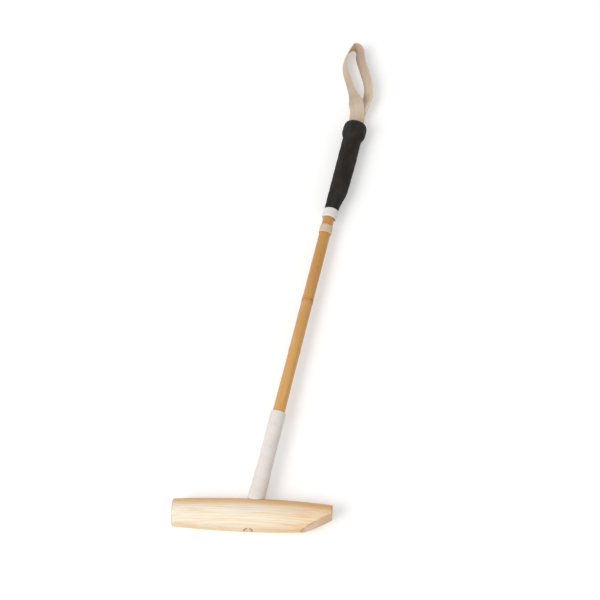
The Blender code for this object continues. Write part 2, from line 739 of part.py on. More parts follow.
def loop_course():
    # Middle of the webbing, its turn and its height, seen from the fold hinge
    columns = [[(i, row[k]) for i, row in enumerate(LOOP_ROUTE)] for k in range(3)]
    spans = (len(LOOP_ROUTE) - 1) * LOOP_STEPS_PER_SPAN
    layer = WEBBING_THICKNESS / 2 + CLEARANCE / 2
    course = []
    for i in range(spans + 1):
        along, across, turn = [curve_through(column, i / LOOP_STEPS_PER_SPAN) for column in columns]
        turn = math.radians(turn)
        station, x = FOLD_HINGE + along, KNOB_OFFSET - STEM_END_STRAY + across
        clear = LOOP_ABOVE_FLOOR + WEBBING_WIDTH / 2 * math.sin(turn)
        clear += WEBBING_THICKNESS / 2 * abs(math.cos(turn))
        hanging = clear - axis_height(station, x)
        root = -layer if i < spans / 2 else layer
        height = blend(root, hanging, smooth_step(along, 0.0, LOOP_DROPS_OVER))
        course.append((Vector((across, along, height)), turn))
    start, end = course[0][0].x, course[-1][0].x
    for i in range(1, 8):
        angle = math.pi / 2 + math.pi * i / 8
        x = blend(end, start, i / 8)
        course.append((Vector((x, layer * math.cos(angle), layer * math.sin(angle))), None))
    return course


def build_sling_loop(pivot):
    course = loop_course()
    rings = []
    for i, (place, turn) in enumerate(course):
        if turn is None:
            heading = Vector((0, -place.z, place.y))
            width = Vector((1, 0, 0))
        else:
            heading = course[(i + 1) % len(course)][0] - course[i - 1][0]
            heading.x *= smooth_step(place.y, 0.0, LOOP_LEAVES_SQUARE_OVER)
            heading.z *= math.sin(turn) ** 2
            sideways = heading.cross(Vector((0, 0, 1))).normalized()
            width = sideways * math.cos(turn) + Vector((0, 0, math.sin(turn)))
        outward = heading.cross(width).normalized() * WEBBING_THICKNESS / 2
        across = across_strap(WEBBING_WIDTH, LOOP_STRAP_STEPS)
        ring = [place + width * a + outward for a in across]
        ring += [place + width * a - outward for a in reversed(across)]
        rings.append(ring)
    bm = skin_rings(rings, cyclic=True)
    return add_object("sling_loop", bm, make_material("loop_cotton", (0.60, 0.46, 0.32), 0.9), pivot)


# Nails

def nail_shape(head_radius_of_nail, length, grow=0.0, above=0.0):
    # A nail along -Z with the top of its head at z = 0
    shank = NAIL_SHANK_RADIUS + grow
    under_head = -NAIL_HEAD_THICKNESS - grow
    profile = ((head_radius_of_nail + grow, above), (head_radius_of_nail + grow, under_head),
               (shank, under_head), (shank, NAIL_POINT_LENGTH - length),
               (NAIL_POINT_RADIUS, -length - grow))
    rings = []
    for radius, height in profile:
        ring = round_ring(radius, 0.0, steps=NAIL_STEPS)
        rings.append([(x, z, height) for x, _, z in ring])
    return skin_rings(rings)


def place_nail(obj, point, facing):
    obj.location = point
    obj.rotation_mode = "QUATERNION"
    obj.rotation_quaternion = Vector((0, 0, 1)).rotation_difference(facing)


def tack_place(station, side):
    # On the middle of the cane, square to the webbing there
    left, right, half_depth, squareness = core_size(station)
    across = -(right - left) / 2
    point, facing = oval_walk(across, (left + right) / 2, half_depth, squareness)
    sunk = point - facing * TACK_HEAD_SUNK + Vector(((right - left) / 2, 0.0))
    return Vector((sunk.x, station, side * sunk.y)), Vector((facing.x, 0.0, side * facing.y))


def build_nails(handle):
    # Returns the holes to cut in each face and in the cheek
    steel = make_material("nail_steel", (0.55, 0.55, 0.56), 0.4, 1.0)
    tack = nail_shape(TACK_HEAD_RADIUS, TACK_LENGTH)
    holes = {1: [], -1: [], "cheek": []}
    number = 0
    for side in (1, -1):
        for height in TACKS_ABOVE_TAIL_END:
            number += 1
            point, facing = tack_place(TAIL_LOW + height, side)
            nail = add_object(f"sling_tack_{number}", tack.copy(), steel, handle)
            place_nail(nail, point, facing)
            hole = nail_shape(TACK_HEAD_RADIUS, TACK_LENGTH, CLEARANCE, WEBBING_THICKNESS)
            cutter = add_cutter(f"tack_hole_{number}", hole, handle)
            place_nail(cutter, point, facing)
            holes[side].append(cutter)
    tack.free()
    for number, depth in enumerate(BRADS_BELOW_BUTT, start=1):
        station = BUTT_TOP - depth
        reach = core_size(station)[1]
        point, facing = Vector((reach - BRAD_HEAD_SUNK, station, 0)), Vector((1, 0, 0))
        nail = add_object(f"cheek_brad_{number}", nail_shape(BRAD_HEAD_RADIUS, BRAD_LENGTH), steel, handle)
        place_nail(nail, point, facing)
        hole = nail_shape(BRAD_HEAD_RADIUS, BRAD_LENGTH, CLEARANCE, WEBBING_THICKNESS)
        cutter = add_cutter(f"brad_hole_{number}", hole, handle)
        place_nail(cutter, point, facing)
        holes["cheek"].append(cutter)
    return holes


def rest_on_floor(mallet):
    # Puts the middle of the underside at the origin
    bpy.context.view_layer.update()
    graph = bpy.context.evaluated_depsgraph_get()
    corners = []
    for obj in bpy.context.scene.objects:
        if obj.type == "MESH" and not obj.hide_render:
            solid = obj.evaluated_get(graph)
            corners += [obj.matrix_world @ vertex.co for vertex in solid.data.vertices]
    low = Vector([min(corner[k] for corner in corners) for k in range(3)])
    high = Vector([max(corner[k] for corner in corners) for k in range(3)])
    middle = (low + high) / 2
    mallet.location -= Vector((middle.x, middle.y, low.z))


def main():
    clear_scene()
    mallet = add_empty("mallet")
    mallet.rotation_euler.x = -rest_pitch()
    handle = add_empty("handle", mallet)
    handle.location.z = TENON_RAISE
    handle.rotation_euler.z = -SHAFT_LEAN
    stem_pivot = add_empty("stem_pivot", handle)
    stem_pivot.location = (KNOB_OFFSET, STEM_HINGE, 0)
    loop_pivot = add_empty("loop_pivot", stem_pivot)
    loop_pivot.location = (-STEM_END_STRAY, STEM_LENGTH, 0)

    holes = build_nails(handle)
    recesses = [tail_recess("front_recess", handle, 1), tail_recess("back_recess", handle, -1)]
    slot = slot_cutter(handle)

    build_head(mallet, handle)
    build_head_wedge(handle)
    build_cane(handle, recesses + holes[1] + holes[-1] + holes["cheek"])
    build_neck_binding(handle)
    build_neck_tape(handle)
    build_upper_tape_band(handle)
    build_handle_cheek(handle, recesses + holes["cheek"])
    build_sling_tail("sling_tail_front", handle, 1, holes[1])
    build_sling_tail("sling_tail_back", handle, -1, holes[-1])
    build_handle_binding(handle)
    build_grip_wrap(handle)
    build_knob_core(handle, slot)
    build_butt_cap(handle, slot)
    build_sling_stem(stem_pivot)
    build_sling_loop(loop_pivot)
    rest_on_floor(mallet)


main()
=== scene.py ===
# Foot polo mallet lying on its side on a pale floor. Metres.
# A station is a distance along the cane from the middle of the head.
import json
import math

import bmesh
import bpy
from mathutils import Matrix, Vector, noise

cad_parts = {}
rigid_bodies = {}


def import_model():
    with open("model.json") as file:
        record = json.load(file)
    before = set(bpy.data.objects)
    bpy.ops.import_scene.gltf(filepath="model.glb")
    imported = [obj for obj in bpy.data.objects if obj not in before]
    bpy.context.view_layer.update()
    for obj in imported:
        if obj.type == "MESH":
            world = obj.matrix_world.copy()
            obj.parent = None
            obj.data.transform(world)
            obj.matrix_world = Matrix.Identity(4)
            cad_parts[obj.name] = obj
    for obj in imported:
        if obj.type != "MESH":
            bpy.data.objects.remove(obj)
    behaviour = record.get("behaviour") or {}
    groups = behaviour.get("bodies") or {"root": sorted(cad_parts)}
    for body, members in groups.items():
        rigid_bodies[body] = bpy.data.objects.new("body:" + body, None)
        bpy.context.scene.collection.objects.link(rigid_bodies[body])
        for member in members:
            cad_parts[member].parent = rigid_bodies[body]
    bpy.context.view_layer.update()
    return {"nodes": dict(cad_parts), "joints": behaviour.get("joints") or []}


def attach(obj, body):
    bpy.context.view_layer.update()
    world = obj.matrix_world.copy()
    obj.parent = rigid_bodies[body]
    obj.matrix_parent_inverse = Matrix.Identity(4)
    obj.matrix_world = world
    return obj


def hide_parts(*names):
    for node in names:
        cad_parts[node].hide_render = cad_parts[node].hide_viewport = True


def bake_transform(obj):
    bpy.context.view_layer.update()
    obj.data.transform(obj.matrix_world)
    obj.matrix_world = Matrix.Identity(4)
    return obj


for thing in list(bpy.data.objects):
    bpy.data.objects.remove(thing)
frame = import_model()
print("frame loaded")

gap = 0.0003  # between pieces that touch
shoulderGap = 0.0004  # where a square edge meets the round of the head
slotGap = 0.00045  # round the webbing where it leaves the butt

layout = {
    "shaftLean": math.radians(11.16),  # of the cane towards the heel
    "tenonRaise": 0.003,  # the cane's axis above the head's middle
    "rootHingeStation": 0.6895,
    "foldHingeStation": 0.724,
    "knobOffset": 0.0051,  # of the knob and sling from the cane's axis
    "stemStray": 0.0031,  # of the fold hinge back towards the toe side
}


def handleFrame():
    # Across the cane, along it and up, with the middle of the head's bore as origin
    hinges = {joint["name"]: joint for joint in frame["joints"]}
    root = Vector(hinges["sling_root_swing"]["pos_m"])
    fold = Vector(hinges["sling_fold"]["pos_m"])
    across = Vector(hinges["sling_root_swing"]["axis"]).normalized()
    along = (fold - root + across * layout["stemStray"]).normalized()
    up = across.cross(along).normalized()
    across = along.cross(up)
    origin = root - along * layout["rootHingeStation"] - across * layout["knobOffset"]
    return Matrix((across, along, up)).transposed().to_4x4(), origin


handleTurn, handleOrigin = handleFrame()
handlePlace = Matrix.Translation(handleOrigin) @ handleTurn
headTurn = handleTurn @ Matrix.Rotation(layout["shaftLean"], 4, "Z")
headPlace = Matrix.Translation(handleOrigin - handleTurn.col[2].xyz * layout["tenonRaise"]) @ headTurn


# Small helpers for shapes

def smoothStep(value, low, high):
    share = min(max((value - low) / (high - low), 0.0), 1.0)
    return share * share * (3 - 2 * share)


def between(start, end, share):
    return start + (end - start) * share


def evenly(start, end, count):
    return [between(start, end, i / count) for i in range(count + 1)]


def curveThrough(table, value):
    # A smooth curve through the table's points, level beyond its ends
    if value <= table[0][0]:
        return table[0][1]
    if value >= table[-1][0]:
        return table[-1][1]
    i = max(k for k in range(len(table) - 1) if table[k][0] <= value)

    def slope(k):
        before, after = table[max(k - 1, 0)], table[min(k + 1, len(table) - 1)]
        return (after[1] - before[1]) / (after[0] - before[0])

    (low, start), (high, end) = table[i], table[i + 1]
    span = high - low
    t = (value - low) / span
    return (start * (1 + 2 * t) * (1 - t) ** 2 + end * t * t * (3 - 2 * t)
            + slope(i) * span * t * (1 - t) ** 2 - slope(i + 1) * span * t * t * (1 - t))


def turned(profile, steps, closed=False, axis=(0, 1, 0)):
    # Spins a profile all the way round. Points on the axis become poles.
    bm = bmesh.new()
    line = [bm.verts.new((*point, 0)) for point in profile]
    edges = [bm.edges.new(pair) for pair in zip(line, line[1:])]
    if closed:
        edges.append(bm.edges.new((line[-1], line[0])))
    bmesh.ops.spin(bm, geom=line + edges, cent=(0, 0, 0), axis=axis, angle=2 * math.pi,
                   steps=steps, use_merge=True)
    bmesh.ops.remove_doubles(bm, verts=bm.verts, dist=1e-7)
    return bm


def addObject(name, data, location=(0, 0, 0), rotation=(0, 0, 0)):
    made = bpy.data.objects.new(name, data)
    made.location = location
    made.rotation_euler = rotation
    bpy.context.scene.collection.objects.link(made)
    return made


def finishPiece(name, bm, place, materials, sharpAngle=40):
    # Faces outwards, smooth where it is round, and its place in its mesh
    bmesh.ops.recalc_face_normals(bm, faces=bm.faces)
    if bm.calc_volume(signed=True) < 0:  # a thin sleeve can come out inside out
        bmesh.ops.reverse_faces(bm, faces=bm.faces)
    bm.transform(place)
    mesh = bpy.data.meshes.new(name)
    bm.to_mesh(mesh)
    bm.free()
    mesh.shade_smooth()
    mesh.set_sharp_from_angle(angle=math.radians(sharpAngle))
    for material in materials:
        mesh.materials.append(material)
    return addObject(name, mesh)


def cutAway(piece, cutter):
    # Cuts a shape out of a piece for good and removes it
    modifier = piece.modifiers.new("cut", "BOOLEAN")
    modifier.operation = "DIFFERENCE"
    modifier.solver = "EXACT"
    modifier.object = cutter
    bpy.context.view_layer.update()
    graph = bpy.context.evaluated_depsgraph_get()
    cutMesh = bpy.data.meshes.new_from_object(piece.evaluated_get(graph))
    piece.modifiers.clear()
    piece.data = cutMesh
    piece.data.name = piece.name
    piece.data.set_sharp_from_angle(angle=math.radians(40))
    bpy.data.objects.remove(cutter)


def standIn(piece, node):
    # The piece moves with the mallet and is seen in place of one of its solids
    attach(piece, "mallet")
    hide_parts(node)


# Small helpers for materials

def addNode(tree, kind, feeds=None, **settings):
    # Feeds give an input's name or number and either a value or the field that goes into it
    made = tree.nodes.new(kind)
    for setting, value in settings.items():
        setattr(made, setting, value)
    for key, value in (feeds or {}).items():
        if isinstance(value, Field):
            tree.links.new(value.socket, made.inputs[key])
        else:
            made.inputs[key].default_value = value
    return made


class Field:
    # A value, colour or direction that varies over a surface: an output of one of its nodes
    def __init__(self, socket):
        self.socket = socket

    def feed(self, kind, feeds, output=0, **settings):
        # Another node of the same material
        return Field(addNode(self.socket.id_data, kind, feeds, **settings).outputs[output])

    def calc(self, operation, other=0.0):
        return self.feed("ShaderNodeMath", {0: self, 1: other}, operation=operation)

    def __add__(self, other):
        return self.calc("ADD", other)

    def __sub__(self, other):
        return self.calc("SUBTRACT", other)

    def __mul__(self, other):
        return self.calc("MULTIPLY", other)

    def __truediv__(self, other):
        return self.calc("DIVIDE", other)

    def size(self):
        return self.calc("ABSOLUTE")

    def vector(self, operation, other=(0, 0, 0), output=0):
        return self.feed("ShaderNodeVectorMath", {0: self, 1: other}, output, operation=operation)

    def parts(self):
        outputs = addNode(self.socket.id_data, "ShaderNodeSeparateXYZ", {"Vector": self}).outputs
        return [Field(output) for output in outputs]

    def noise(self, scale, detail=2.0, roughness=0.5, distortion=0.0):
        point = self.vector("MULTIPLY", scale)
        return self.feed("ShaderNodeTexNoise", {"Vector": point, "Scale": 1.0, "Detail": detail,
                                                "Roughness": roughness, "Distortion": distortion})

    def ranged(self, low, high, start=0.0, end=1.0):
        # Goes smoothly from start to end as the field goes from low to high
        return self.feed("ShaderNodeMapRange", {"Value": self, "From Min": low, "From Max": high,
                                                "To Min": start, "To Max": end},
                         interpolation_type="SMOOTHSTEP")

    def attribute(self, name):
        return self.feed("ShaderNodeAttribute", {}, "Fac", attribute_name=name)


def mixed(share, first, second, blend="MIX"):
    field = next(value for value in (share, first) if isinstance(value, Field))
    return field.feed("ShaderNodeMix", {0: share, 6: first, 7: second}, 2, data_type="RGBA",
                      blend_type=blend)


def newMaterial(name, place=None, **sockets):
    # With values for its shader, and the point on the surface in the place's own directions
    material = bpy.data.materials.new(name)
    material.use_nodes = True
    shader = material.node_tree.nodes["Principled BSDF"]
    for socket, value in sockets.items():
        shader.inputs[socket.replace("_", " ")].default_value = value
    point = Field(addNode(material.node_tree, "ShaderNodeTexCoord").outputs["Object"])
    if place:
        point = point.feed("ShaderNodeMapping", {"Vector": point, "Location": place.translation,
                                                 "Rotation": place.to_euler()}, vector_type="TEXTURE")
    return material, point


def dress(material, relief=None, depth=0.0, strength=1.0, **fields):
    # Feeds the shader's sockets with fields, and its normal with a relief
    if relief:
        fields["Normal"] = relief.feed("ShaderNodeBump", {"Height": relief, "Distance": depth,
                                                          "Strength": strength})
    shader = material.node_tree.nodes["Principled BSDF"]
    for socket, field in fields.items():
        material.node_tree.links.new(field.socket, shader.inputs[socket.replace("_", " ")])
    return material


def colour(red, green, blue):
    # A colour read off as 0 to 255 on a screen
    linear = [((c / 255 + 0.055) / 1.055) ** 2.4 if c > 10 else c / 255 / 12.92
              for c in (red, green, blue)]
    return (*linear, 1.0)


def dimmed(tone, share):
    return (*(c * share for c in tone[:3]), 1.0)


def turnAround(x, z):
    # Share of a turn round the handle's axis
    return x.calc("ARCTAN2", z) / (2 * math.pi)


# Camera, which looks down on the mallet from beside the sole

cameraPlace = {
    "location": (0.067048, -0.952601, 2.0278),
    "tilt": math.radians(90 - 65.873),
    "pan": math.radians(2.188),
    "lens": 84,
}


def placeCamera():
    data = bpy.data.cameras.new("camera")
    data.lens = cameraPlace["lens"]
    data.sensor_width = 36
    rotation = (cameraPlace["tilt"], 0, cameraPlace["pan"])
    bpy.context.scene.camera = addObject("camera", data, cameraPlace["location"], rotation)


# Floor and light

studio = {
    "floorSize": 14.0,
    "floorColour": (242, 242, 242),
    "floorGlow": 0.27,
    "worldStrength": 0.53,
    "keyPower": 189.0,
    "keySize": 3.6,
    "keyPlace": (-3.3, -2.3, 4.7),
    "fillPower": 22.0,
    "fillSize": 4.0,
    "fillPlace": (0.8, -4.6, 3.4),
}


def seenDirectly(tree):
    # 1 for what the camera sees, in gloss and through glass too, and 0 for what only lights the room
    rays = addNode(tree, "ShaderNodeLightPath").outputs
    kinds = ("Is Camera Ray", "Is Glossy Ray", "Is Transmission Ray")
    camera, glossy, passing = [Field(rays[kind]) for kind in kinds]
    return camera.calc("MAXIMUM", glossy).calc("MAXIMUM", passing)


def floorMaterial():
    material, point = newMaterial("floorPaper", Roughness=0.9, Specular_IOR_Level=0.1,
                                  Emission_Color=(1, 1, 1, 1))
    plain = colour(*studio["floorColour"])
    tint = mixed(point.noise((3, 3, 3)).ranged(0.2, 0.8), plain, dimmed(plain, 0.99))
    glow = seenDirectly(material.node_tree) * studio["floorGlow"]
    return dress(material, Base_Color=tint, Emission_Strength=glow)


def layFloor():
    bm = bmesh.new()
    bmesh.ops.create_grid(bm, x_segments=2, y_segments=2, size=studio["floorSize"] / 2)
    mesh = bpy.data.meshes.new("floor")
    bm.to_mesh(mesh)
    bm.free()
    mesh.materials.append(floorMaterial())
    addObject("floor", mesh)


def addSoftLamp(name, place, size, power, warmth):
    data = bpy.data.lights.new(name, "AREA")
    data.size = size
    data.energy = power
    data.color = warmth
    addObject(name, data, place, Vector(place).to_track_quat("Z", "Y").to_euler())


def lightRoom():
    world = bpy.data.worlds.new("studio")
    world.use_nodes = True
    tree = world.node_tree
    background = tree.nodes["Background"]
    background.inputs["Color"].default_value = (1, 1, 1, 1)
    strength = seenDirectly(tree).ranged(0, 1, studio["worldStrength"], 1.0)
    tree.links.new(strength.socket, background.inputs["Strength"])
    bpy.context.scene.world = world
    addSoftLamp("keyLamp", studio["keyPlace"], studio["keySize"], studio["keyPower"], (1.0, 0.985, 0.965))
    addSoftLamp("fillLamp", studio["fillPlace"], studio["fillSize"], studio["fillPower"],
                (0.97, 0.985, 1.0))
    bpy.context.scene.view_settings.view_transform = "Standard"


# Head, a turned barrel whose heel is cut off at a slant

head = {
    "length": 0.235,
    "bellyRadius": 0.0245,
    "toeRadius": 0.0205,
    "heelRadius": 0.0190,
    "toeEdgeRound": 0.0030,
    "heelEdgeRound": 0.0013,
    "creaseSteps": 16,  # between the slant and the flat heel
    "sawnRings": (0.98, 0.86),  # shares of a sawn face, each of the one before
    "bevelAngle": math.radians(28.5),
    "bevelAt": 0.114,  # where the slant crosses the head's axis
    "straightFrom": 0.020,  # where stations start to close up towards the slant
    "brownAndShadeFacing": (0, 0.913, 0.407),  # way that the side with browner wood and painted shade looks
    "arrisWidth": 0.0016,
    "toeArris": 0.62,  # share of the heel's painted edge shade that the toe's edge has
    "stations": 64,
    "steps": 120,
}
belly = head["bellyRadius"]
headHalf = head["length"] / 2


def headRadius(x):
    endRadius = head["toeRadius"] if x < 0 else head["heelRadius"]
    share = abs(x) / headHalf
    return belly - (belly - endRadius) * share ** 2


def headProfile():
    # From the middle of the toe, round its edge and along the barrel to the heel
    rounding = head["toeEdgeRound"]
    straight = rounding - headHalf
    low = headRadius(straight) - rounding
    points = [(-headHalf, low * share) for share in (0, 0.3, 0.6, 0.85, 0.97)]
    for degrees in range(0, 91, 15):
        angle = math.radians(degrees)
        points.append((straight - rounding * math.cos(angle), low + rounding * math.sin(angle)))
    return points + [(x, headRadius(x)) for x in evenly(straight, headHalf, head["stations"])[1:]]


def slantedEnd(sideways):
    # Where a line along the barrel meets the slant, or the flat heel if that comes first
    x = headHalf
    for _ in range(30):
        x = head["bevelAt"] + headRadius(min(x, headHalf)) * sideways / math.tan(head["bevelAngle"])
    return min(x, headHalf)


def slideToHeel(bm):
    # Each line of the barrel ends on the slant or the heel, and one ends on their corner
    creaseHeight = (headHalf - head["bevelAt"]) * math.tan(head["bevelAngle"])
    corner = math.acos(creaseHeight / head["heelRadius"])
    halfStep = math.pi / head["steps"]
    for vertex in bm.verts:
        x, y, z = vertex.co
        if x <= head["straightFrom"]:
            continue
        angle = math.atan2(z, y)
        if abs(abs(angle) - corner) < halfStep:
            angle = math.copysign(corner, angle)
        share = (x - head["straightFrom"]) / (headHalf - head["straightFrom"])
        x = between(head["straightFrom"], slantedEnd(math.cos(angle)), share)
        vertex.co = (x, headRadius(x) * math.cos(angle), headRadius(x) * math.sin(angle))


def closeHeel(bm):
    rim = [edge for edge in bm.edges if edge.is_boundary]
    flat = [edge for edge in rim if all(vertex.co.x > headHalf - 1e-6 for vertex in edge.verts)]
    slanted = [edge for edge in rim if edge not in flat]
    corners = [vertex for vertex in bm.verts if any(edge in flat for edge in vertex.link_edges)
               and any(edge in slanted for edge in vertex.link_edges)]
    first, last = [corner.co.copy() for corner in corners]
    inner = [bm.verts.new(first.lerp(last, share)) for share in evenly(0, 1, head["creaseSteps"])[1:-1]]
    line = [corners[0]] + inner + [corners[1]]
    crease = [bm.edges.new(pair) for pair in zip(line, line[1:])]
    for edges in (flat, slanted):
        bmesh.ops.contextual_create(bm, geom=edges + crease)


def roundHeel(bm):
    # Rounds the edges of the slant and the flat heel, and gives each face two rings inside its edge
    def isSawn(face):
        # Only the sawn faces have many corners
        return len(face.verts) > 20 and face.normal.x > 0.4

    edges = {edge for face in bm.faces if isSawn(face) for edge in face.edges}
    bmesh.ops.bevel(bm, geom=list(edges), offset=head["heelEdgeRound"], offset_type="OFFSET",
                    segments=5, profile=0.5, affect="EDGES", material=-1, clamp_overlap=True)
    for face in [face for face in bm.faces if isSawn(face)]:
        middle = face.calc_center_median()
        for share in head["sawnRings"]:
            bmesh.ops.inset_individual(bm, faces=[face], thickness=0.00001, use_even_offset=False)
            bmesh.ops.scale(bm, verts=face.verts[:], vec=(share, share, share),
                            space=Matrix.Translation(-middle))


def markEndGrain(bm):
    # End grain is 1 on the sawn ends and 0 on the barrel. Arris is 1 along their rounded edges, which take
    # painted shade.
    layer = bm.verts.layers.float.new("endGrain")
    arrisLayer = bm.verts.layers.float.new("arris")
    facing = Vector((math.sin(head["bevelAngle"]), -math.cos(head["bevelAngle"]), 0))
    onSlant = Vector((head["bevelAt"], 0, 0))
    near = 0.00012
    for vertex in bm.verts:
        x = vertex.co.x
        depth = min(headHalf - abs(x), (onSlant - vertex.co).dot(facing))
        inward = headRadius(x) - math.hypot(vertex.co.y, vertex.co.z)
        vertex[layer] = 1.0 if depth < near or inward > head["arrisWidth"] else 0.0
        onEdge = depth < head["arrisWidth"] and inward < head["arrisWidth"]
        vertex[arrisLayer] = (1.0 if x > 0 else head["toeArris"]) if onEdge else 0.0


growthRings = {
    "pith": (0, -0.058, 0.031),  # from the piece's axis
    "perMetre": 520.0,
    "wander": 0.006,
}


def paleWood(name, place, light, tan, deep, ends, brownAndShade=None):
    # Fibres run along the place's X, and rings lie round a pith outside the piece. The brown tone darkens
    # the side that the cane goes in, partly as riper wood and partly as painted shade, and a fainter
    # painted shade darkens the sole side.
    material, point = newMaterial(name, place, Specular_IOR_Level=0.35)
    x = point.parts()[0]
    fromAxis = point.vector("MULTIPLY", (0, 1, 1))
    fromPith = fromAxis.vector("DISTANCE", growthRings["pith"], "Value")
    wander = point.noise((9, 40, 40)) * growthRings["wander"]
    ringPlace = (fromPith + wander) * growthRings["perMetre"]
    rings = ringPlace.feed("ShaderNodeTexNoise", {"W": ringPlace, "Scale": 1.0, "Detail": 3.0,
                                                  "Roughness": 0.6}, noise_dimensions="1D")
    fibres = point.noise((16, 520, 520), 5.0, 0.62)
    pores = point.noise((75, 2600, 2600))
    blotches = point.noise((11, 55, 55), 3.0, 0.55)
    streaks = point.noise((8, 210, 210), 2.0, 0.5, 0.4)

    tone = mixed(rings.ranged(0.42, 0.66, 0.0, 0.8), light, tan)
    tone = mixed(fibres.ranged(0.44, 0.72, 0.0, 0.6), tone, deep)
    tone = mixed(blotches.ranged(0.45, 0.75, 0.0, 0.35), tone, tan)
    tone = mixed(streaks.ranged(0.60, 0.72, 0.0, 0.55), tone, colour(244, 202, 146))
    tone = mixed(streaks.ranged(0.38, 0.28, 0.0, 0.20), tone, colour(226, 216, 198))
    tone = mixed(x.ranged(-0.02, 0.12, 0.0, 0.55), tone, colour(243, 210, 163), "MULTIPLY")
    endTone = mixed(rings.ranged(0.35, 0.65), ends, dimmed(ends, 0.85))
    endTone = mixed(pores.ranged(0.52, 0.68, 0.0, 0.4), endTone, colour(150, 114, 80))
    if brownAndShade:
        # Painted shade, partly browner wood, on the side that the cane goes in
        facing = fromAxis.vector("NORMALIZE").vector("DOT_PRODUCT", head["brownAndShadeFacing"], "Value")
        facing += streaks * 0.12
        tone = mixed(facing.ranged(0.67, 1.02, 0.0, 0.9), tone, brownAndShade, "MULTIPLY")
        # Fainter painted shade on the sole side
        tone = mixed(facing.ranged(-0.25, -0.85, 0.0, 0.9), tone, colour(244, 230, 211), "MULTIPLY")
        endTone = mixed(x.ranged(0.085, 0.113, 0.0, 0.55), endTone, colour(214, 168, 120))
    tone = mixed(pores.ranged(0.66, 0.74, 0.0, 0.25), tone, colour(170, 132, 92))
    sawn = point.attribute("endGrain")
    tone = mixed(sawn, tone, endTone)
    # Painted shade along the rounded edges of the sawn ends
    edgeShade = point.attribute("arris") * point.noise((70, 70, 70)).ranged(0.30, 0.68, 0.15, 0.75)
    tone = mixed(edgeShade, tone, colour(176, 132, 84))
    rough = fibres.ranged(0.3, 0.7, 0.40, 0.52) + sawn * 0.18
    return dress(material, fibres * 0.7 + pores * 0.5, 0.00012, 0.6, Base_Color=tone, Roughness=rough)


def tenonRadius(station):
    share = (station + belly) / (2 * belly)
    return between(tenon["soleRadius"], tenon["topRadius"], share)


def makeHead():
    bm = turned(headProfile(), head["steps"], axis=(1, 0, 0))
    slideToHeel(bm)
    closeHeel(bm)
    wood = paleWood("headWood", headPlace, colour(253, 245, 229), colour(247, 226, 194),
                    colour(236, 204, 160), colour(250, 222, 188), colour(248, 207, 153))
    piece = finishPiece("turnedHead", bm, headPlace, [wood])
    reach = belly * 1.4
    bore = [(tenonRadius(s) + gap, s) for s in evenly(-reach, reach, 8)]
    bore = turned([(0.0, -reach)] + bore + [(0.0, reach)], 96)
    cutAway(piece, finishPiece("cutter", bore, handlePlace, []))
    # The heel is rounded after the bore is cut, because the cut needs plain sawn faces
    bm = bmesh.new()
    bm.from_mesh(piece.data)
    bm.transform(headPlace.inverted())
    roundHeel(bm)
    markEndGrain(bm)
    bm.transform(headPlace)
    bm.to_mesh(piece.data)
    bm.free()
    piece.data.set_sharp_from_angle(angle=math.radians(40))
    standIn(piece, "head")


# Cane, whose tenon goes through the head and is spread by a wedge

tenon = {
    "soleRadius": 0.0072,
    "topRadius": 0.0073,
    "wedgeDepth": 0.030,
    "wedgeSole": 0.0030,
    "wedgeTip": 0.0009,
    "endGrainAbove": -0.0215,  # station short of which the cane shows its sawn end
}

cane = {
    "neckRadius": 0.0095,
    "radius": 0.0091,
    "gripRadius": 0.0083,
    "neckSwell": 0.050,
    "slimsOver": 0.080,
    "rings": (0.267, 0.3545),
    "ringStains": (0.15, 0.65),
    "ringSwell": 0.0004,
    "ringHalfLength": 0.007,
    "end": 0.665,
    "scarPast": 0.002,  # of a ring's scar beyond the middle of its swelling
    "ringSlant": 0.0012,
    "flutes": 9,
    "fluteDepth": 0.00004,
    "steps": 72,
}

tapes = {
    "neckTop": 0.163,
    "neckBottomRadius": 0.0128,
    "neckTopRadius": 0.0116,
    "neckFlare": 0.070,
    "neckThickness": 0.0009,
    "neckPitch": 0.0175,
    "neckStep": 0.00016,  # of each turn over the last
    "neckLumps": 0.00008,
    "neckLip": 0.0037,  # of the top turn, which lies on the bare cane
    "neckEdgeRound": 0.0004,
    "neckFoot": 0.008,  # in which the foot takes on the barrel's round
    "thread": 0.00055,
    "threadsAround": 130,
    "bandHigh": 0.4899,
    "bandWidth": 0.0137,
    "bandThickness": 0.0007,
    "bandEdgeRound": 0.0003,
    "bandPitch": 0.0065,
    "bandStep": 0.00022,  # of the tape's loose end
    "bandEndTurn": 0.31,
    "whiteLow": 0.5048,
    "whitePitch": 0.0085,
    "whiteStep": 0.00012,
    "gripLow": 0.5205,
}


def barrelStation(x, z, side, extra=0.0):
    # Where a line along the cane leaves the barrel. Side is 1 at the top and -1 at the sole.
    station = side * belly
    lean, upright = math.sin(layout["shaftLean"]), math.cos(layout["shaftLean"])
    for _ in range(4):
        radius = headRadius(station * lean + x * upright) + extra
        depth = math.sqrt(radius ** 2 - (z + layout["tenonRaise"]) ** 2)
        station = (x * lean + side * depth) / upright
    return station


def caneRadius(station):
    if station <= belly:
        return tenonRadius(station)
    swell = smoothStep(station, belly, belly + cane["neckSwell"])
    radius = between(tenon["topRadius"], cane["neckRadius"], swell)
    slim = smoothStep(station, tapes["neckTop"], tapes["neckTop"] + cane["slimsOver"])
    radius += (cane["radius"] - cane["neckRadius"]) * slim
    slim = smoothStep(station, tapes["whiteLow"], tapes["gripLow"])
    radius += (cane["gripRadius"] - cane["radius"]) * slim
    for ring in cane["rings"]:
        reach = abs(station - ring) / cane["ringHalfLength"]
        if reach < 1:
            radius += cane["ringSwell"] * (1 - reach ** 2) ** 2
    return radius


